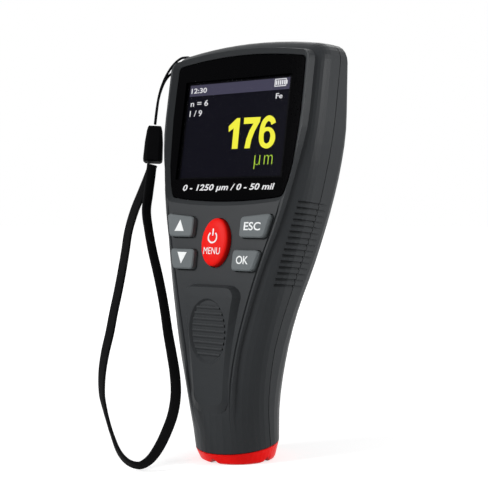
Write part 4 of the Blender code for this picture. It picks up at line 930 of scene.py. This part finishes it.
    def webbing(self) -> None:
        """Adds the webbing: a rounded flat section carried along the loop and twisted as it goes."""
        path = self.loop_path()
        lengths = measured(path)
        step = unit(np.gradient(path, axis=0))
        flat = unit(np.cross(step, np.array(self.facing)))
        thick = np.cross(step, flat)
        shares, degrees = np.array(self.twist).T
        turn = np.pad(np.radians(np.interp(lengths / lengths[-1], shares, degrees)), self.twist_window // 2,
                      mode="edge")
        turn = np.convolve(turn, np.ones(self.twist_window) / self.twist_window, mode="valid")[:, None]
        wide = flat * np.cos(turn) + thick * np.sin(turn)
        deep = np.cross(step, wide)
        angle = np.linspace(0, 2 * math.pi, self.webbing_sides, endpoint=False)
        cosine, sine = np.cos(angle), np.sin(angle)
        across = np.sign(cosine) * np.abs(cosine) ** self.edge_power * self.webbing_width / 2
        through = np.sign(sine) * np.abs(sine) ** self.face_power * self.webbing_thickness / 2
        grid = path[:, None] + across[None, :, None] * wide[:, None] + through[None, :, None] * deep[:, None]
        finish = Woven("webbing_weave", srgb(8, 8, 9), pick=1.1 * MM, slope=0.8, depth=0.12 * MM).material()
        piece = surface("wrist_webbing", grid, finish, lengths=lengths)
        self.lay(piece, "strap_webbing", path, 0, self.webbing_width, "medium")

    def build(self) -> None:
        """Lays the cord and the webbing and finishes the sleeve."""
        self.cord()
        self.webbing()
        dress(Moulded("sleeve_rubber", srgb(4, 4, 5), 0.5, grain=0.3 * MM, specular=0.03), "strap_sleeve")


# The gauge

def nickel(name: str) -> Metal:
    """Nickel-plated sheet or wire."""
    return Metal(name, (0.70, 0.67, 0.60), 0.25, (1.0, 1.0, 0.1))


@dataclass
class Case:
    """The two shells, the battery door and the screws."""

    plastic: Moulded = Moulded("case_plastic", srgb(49, 51, 53), 0.40, grain=0.3 * MM, specular=0.08)
    steel: Metal = Metal("screw_steel", (0.55, 0.55, 0.54), 0.35, (1.0, 0.1, 1.0))

    def build(self) -> None:
        """Dresses the shells and the screws."""
        dress(self.plastic, "front_shell", "back_shell", "battery_door")
        dress(self.steel, *(f"case_screw_{number}" for number in range(1, 5)))


@dataclass
class Display:
    """The window, the lit panel with its reading, and the layers behind it.

    Attributes:
        lit: the panel's lit part.
        bar: height of the paler bar along its top.
        clear: the window's clear part.
        panel_front, window_front: heights of both front faces over the face's plane.
        lit_low, lit_high: from a lit shape's underside and top down to the panel.
        ink_low, ink_high: how deep the window's print goes in, and how far it stands out.
        battery_centre: the battery sign's middle on the face, in millimetres.
    """

    lit: Area = Area(-0.87 * MM, 23.0 * MM, 23.8 * MM, 58.65 * MM)
    bar: float = 4.2 * MM
    clear: Area = Area(-0.5 * MM, 24.4 * MM, 22.9 * MM, 59.5 * MM)
    panel_front: float = -3.2 * MM
    lit_low: float = 0.05 * MM
    lit_high: float = 0.12 * MM
    window_front: float = -1.7 * MM
    ink_low: float = 0.05 * MM
    ink_high: float = 0.04 * MM
    battery_centre: Pair = (18.1, 57.0)
    yellow: Colour = srgb(250, 246, 52)
    green: Colour = srgb(176, 214, 52)
    white: Colour = srgb(232, 232, 236)

    @property
    def levels(self) -> Pair:
        """Heights of a lit shape's underside and top over the face's plane."""
        return self.panel_front + self.lit_low, self.panel_front + self.lit_high

    def shape(self, name: str, loop: np.ndarray, finish: Material, at: Pair = (0.0, 0.0)) -> None:
        """Adds one lit shape just over the panel; its outline and place are in millimetres."""
        piece = prism(name, np.asarray(loop) * MM, metres(*at), self.levels, finish)
        fix(piece, "case")

    def figures(self, finish: Material) -> None:
        """Adds the large reading: a flagged one, a seven and a six drawn as two strokes."""
        one = [(-3.3, 42.3), (-3.0, 40.2), (-0.9, 41.5), (-0.75, 33.9), (1.85, 33.9), (1.65, 45.1),
               (0.2, 45.1)]
        seven = [(3.5, 45.1), (3.6, 42.8), (8.0, 42.8), (6.5, 40.3), (5.5, 37.4), (5.0, 33.9), (7.4, 33.9),
                 (7.8, 37.0), (8.8, 39.9), (10.7, 43.3), (10.9, 45.0)]
        back = route([(16.95, 42.3), (16.3, 43.6), (14.6, 44.4), (12.9, 43.2), (12.15, 41.0), (12.05, 38.3),
                      (12.4, 36.0)], 30)
        bowl = route([(12.5, 39.4), (13.4, 40.3), (14.8, 40.5), (16.4, 39.6), (17.2, 37.5), (16.6, 35.3),
                      (14.8, 34.4), (13.1, 35.1), (12.2, 36.8), (12.05, 38.5)], 40)
        widths = np.interp(np.linspace(0, 1, len(bowl)), [0, 0.2, 0.45, 0.7, 1], [1.4, 1.4, 2.3, 1.7, 2.1])
        for name, loop in (("one", one), ("seven", seven), ("six_back", band(back, 2.0)),
                           ("six_bowl", band(bowl, widths))):
            self.shape(f"figure_{name}", loop, finish)

    def reading(self) -> None:
        """Adds the figures, the unit and the small marks."""
        self.figures(Lit("reading_yellow", self.yellow).material())
        white = Lit("marks_white", self.white).material()
        green = Lit("unit_green", self.green).material()
        for name, words, size, at, finish, weight in (
                ("reading_micro", "µ", (2.5, 4.9), (11.35, 28.8), green, -0.022),
                ("reading_metre", "m", (3.7, 3.3), (16.25, 29.55), green, -0.02),
                ("coating_sign", "Fe", (2.9, 1.9), (18.1, 52.2), white, 0.01),
                ("set_number", "n = 6", (8.4, 2.2), (-18.6, 51.65), white, 0.005),
                ("group_number", "1 / 9", (5.9, 2.3), (-19.85, 47.9), white, 0.005),
                ("clock", "12:30", (7.4, 1.9), (-19.4, 56.5), white, 0.01)):
            piece = lettering(name, words, metres(*size), metres(*at), self.levels, finish, weight=weight)
            fix(piece, "case")

    def battery_mark(self) -> None:
        """Adds the battery sign: a frame with a nub and five bars."""
        white = Lit("battery_white", self.white).material()
        x, y = self.battery_centre
        shapes = {"nub": (2.75, 0.0, 0.5, 1.3)}
        for k in range(5):
            shapes[f"bar_{k + 1}"] = (-1.8 + 0.9 * k, 0.0, 0.55, 1.6)
        shapes.update(edge_top=(0.0, 1.25, 5.0, 0.3), edge_bottom=(0.0, -1.25, 5.0, 0.3),
                      edge_left=(-2.4, 0.0, 0.3, 2.3), edge_right=(2.4, 0.0, 0.3, 2.3))
        for name, (right, up, width, height) in shapes.items():
            self.shape(f"battery_{name}", rectangle(width, height), white, (x + right, y + up))

    def range_print(self) -> None:
        """Adds the plain range figures printed on the window's lower border."""
        ink = Moulded("window_print", srgb(214, 214, 216), 0.5, mottle=0.03).material()
        levels = (self.window_front - self.ink_low, self.window_front + self.ink_high)
        piece = lettering("range_figures", "0 - 1250 µm / 0 - 50 mil", metres(42.0, 2.8), metres(0.4, 19.5),
                          levels, ink, slant=0.2, weight=0.02)
        fix(piece, "case")

    def build(self) -> None:
        """Dresses the layers and adds the marks."""
        dress(SmokedWindow("smoked_window", self.clear), "display_window")
        dress(LiquidCrystal("lit_panel", self.lit, self.bar), "display_panel")
        dress(Moulded("backlight_white", srgb(228, 228, 224), 0.4, mottle=0.03), "display_backlight")
        dress(Metal("tray_steel", (0.6, 0.6, 0.59), 0.35, (0.05, 1.0, 1.0)), "display_tray")
        self.reading()
        self.battery_mark()
        self.range_print()


@dataclass
class Keypad:
    """Five keys with their printed signs, and the mat behind them.

    Attributes:
        key_front, menu_front: heights of the keys' faces over the face's plane.
        root, menu_root: how deep a sign goes into its key.
        print_depth: how far it stands out.
        stroke: width of the power sign's line.
        ring_turn: where its open ring begins and ends, in degrees.
    """

    grey: Moulded = Moulded("key_plastic", srgb(98, 103, 105), 0.5, grain=0.2 * MM, depth=0.012 * MM,
                            mottle=0.05, specular=0.1)
    red: Moulded = Moulded("menu_plastic", srgb(226, 22, 16), 0.42, grain=0.2 * MM, depth=0.01 * MM,
                           mottle=0.04, specular=0.06)
    key_front: float = 1.9 * MM
    menu_front: float = 2.3 * MM
    root: float = 0.1 * MM
    menu_root: float = 0.25 * MM
    print_depth: float = 0.05 * MM
    stroke: float = 0.55 * MM
    ring_turn: Pair = (128.0, 412.0)

    @property
    def levels(self) -> Pair:
        """Heights of a grey key's sign over the face's plane."""
        return self.key_front - self.root, self.key_front + self.print_depth

    def arrows(self, ink: Material) -> None:
        """Adds the two arrowheads: triangles on the left keys."""
        triangle = np.array([[-2.2, -2.05], [2.2, -2.05], [0.0, 2.1]]) * MM
        for name, body, turn, at in (("arrow_up", "up_button", 1, (-16.9, 5.3)),
                                     ("arrow_down", "down_button", -1, (-14.3, -6.4))):
            fix(prism(name, triangle * turn, metres(*at), self.levels, ink), body)

    def words(self, ink: Material) -> None:
        """Adds the plain words on the right keys."""
        for name, body, text, span, at in (("word_escape", "escape_button", "ESC", 7.2, (16.3, 5.2)),
                                           ("word_confirm", "confirm_button", "OK", 5.3, (13.5, -6.6))):
            piece = lettering(name, text, metres(span, 2.9), metres(*at), self.levels, ink, weight=0.015)
            fix(piece, body)

    def power_sign(self, ink: Material) -> None:
        """Adds the power sign, an open ring and a bar, and the word under it."""
        levels = (self.menu_front - self.menu_root, self.menu_front + self.print_depth)
        angle = np.radians(np.linspace(*self.ring_turn, 40))
        ring = band(1.9 * MM * np.column_stack([np.cos(angle), np.sin(angle)]), self.stroke)
        bar = rectangle(self.stroke, 2.5 * MM)
        for name, loop, at in (("power_ring", ring, (-0.5, 1.1)), ("power_bar", bar, (-0.5, 2.9))):
            fix(prism(name, loop, metres(*at), levels, ink), "menu_button")
        piece = lettering("word_menu", "MENU", metres(7.4, 2.4), metres(-0.25, -3.7), levels, ink)
        fix(piece, "menu_button")

    def build(self) -> None:
        """Dresses the keys and adds their signs."""
        ink = Moulded("sign_white", srgb(228, 230, 230), 0.5, mottle=0.03).material()
        dress(self.grey, "key_up", "key_down", "key_escape", "key_confirm")
        dress(self.red, "key_menu")
        dress(Moulded("mat_silicone", srgb(150, 150, 148), 0.65, grain=0.15 * MM), "key_mat")
        self.arrows(ink)
        self.words(ink)
        self.power_sign(ink)


class Inside:
    """Boards, chips, cells and contacts."""

    def build(self) -> None:
        """Dresses everything that the case hides."""
        dress(CircuitBoard("board_mask"), "main_board")
        dress(Moulded("chip_epoxy", srgb(32, 32, 34), 0.45, grain=0.08 * MM), "processor", "memory_chip")
        dress(Moulded("connector_nylon", srgb(226, 220, 202), 0.45, mottle=0.04), "ribbon_connector",
              "probe_connector", "probe_cap")
        dress(Moulded("buzzer_case", srgb(38, 38, 40), 0.5), "buzzer")
        dress(Metal("board_screw_steel", (0.56, 0.56, 0.55), 0.33, (1.0, 0.1, 1.0)),
              *(f"board_screw_{number}" for number in range(1, 4)))
        dress(nickel("nickel_plate"), "contact_bridge", "contact_positive", "contact_negative",
              "contact_spring_1", "contact_spring_2", "probe_spring")
        dress(CellJacket("cell_film"), "battery_cell_1", "battery_cell_2")


@dataclass
class Probe:
    """Red collar, steel barrel, plunger and tip, and a copy of the spring."""

    travel: float = 1.5 * MM
    collar: Moulded = Moulded("collar_plastic", srgb(255, 15, 12), 0.38, grain=0.3 * MM, depth=0.008 * MM,
                              mottle=0.02, specular=0.1)

    def spring(self) -> None:
        """Stands a copy of the coil in its place."""
        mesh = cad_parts["probe_spring"].data.copy()
        mesh.name = "pressed_spring"
        mesh.materials.clear()
        mesh.materials.append(nickel("spring_wire").material())
        piece = fix(put(mesh.name, mesh), "case")
        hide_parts("probe_spring")
        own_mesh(piece)

    def build(self) -> None:
        """Dresses the probe's pieces and stands the spring in."""
        self.spring()
        dress(self.collar, "probe_collar")
        dress(Metal("probe_steel", (0.62, 0.61, 0.59), 0.22, (0.05, 0.05, 1.0)), "probe_barrel",
              "probe_plunger")
        dress(Metal("tip_carbide", (0.38, 0.38, 0.40), 0.12, (0.05, 0.05, 1.0)), "probe_tip")


def main() -> None:
    """Builds the scene in order: camera, strap, studio and then the gauge's parts."""
    logging.basicConfig(level=logging.INFO, format="%(name)s: %(message)s")
    ViewCamera().build()
    WristStrap().build()
    Studio().build()
    for part in (Case(), Display(), Keypad(), Inside(), Probe()):
        part.build()
        LOG.info("built %s", type(part).__name__)


if __name__ == "__main__":
    main()
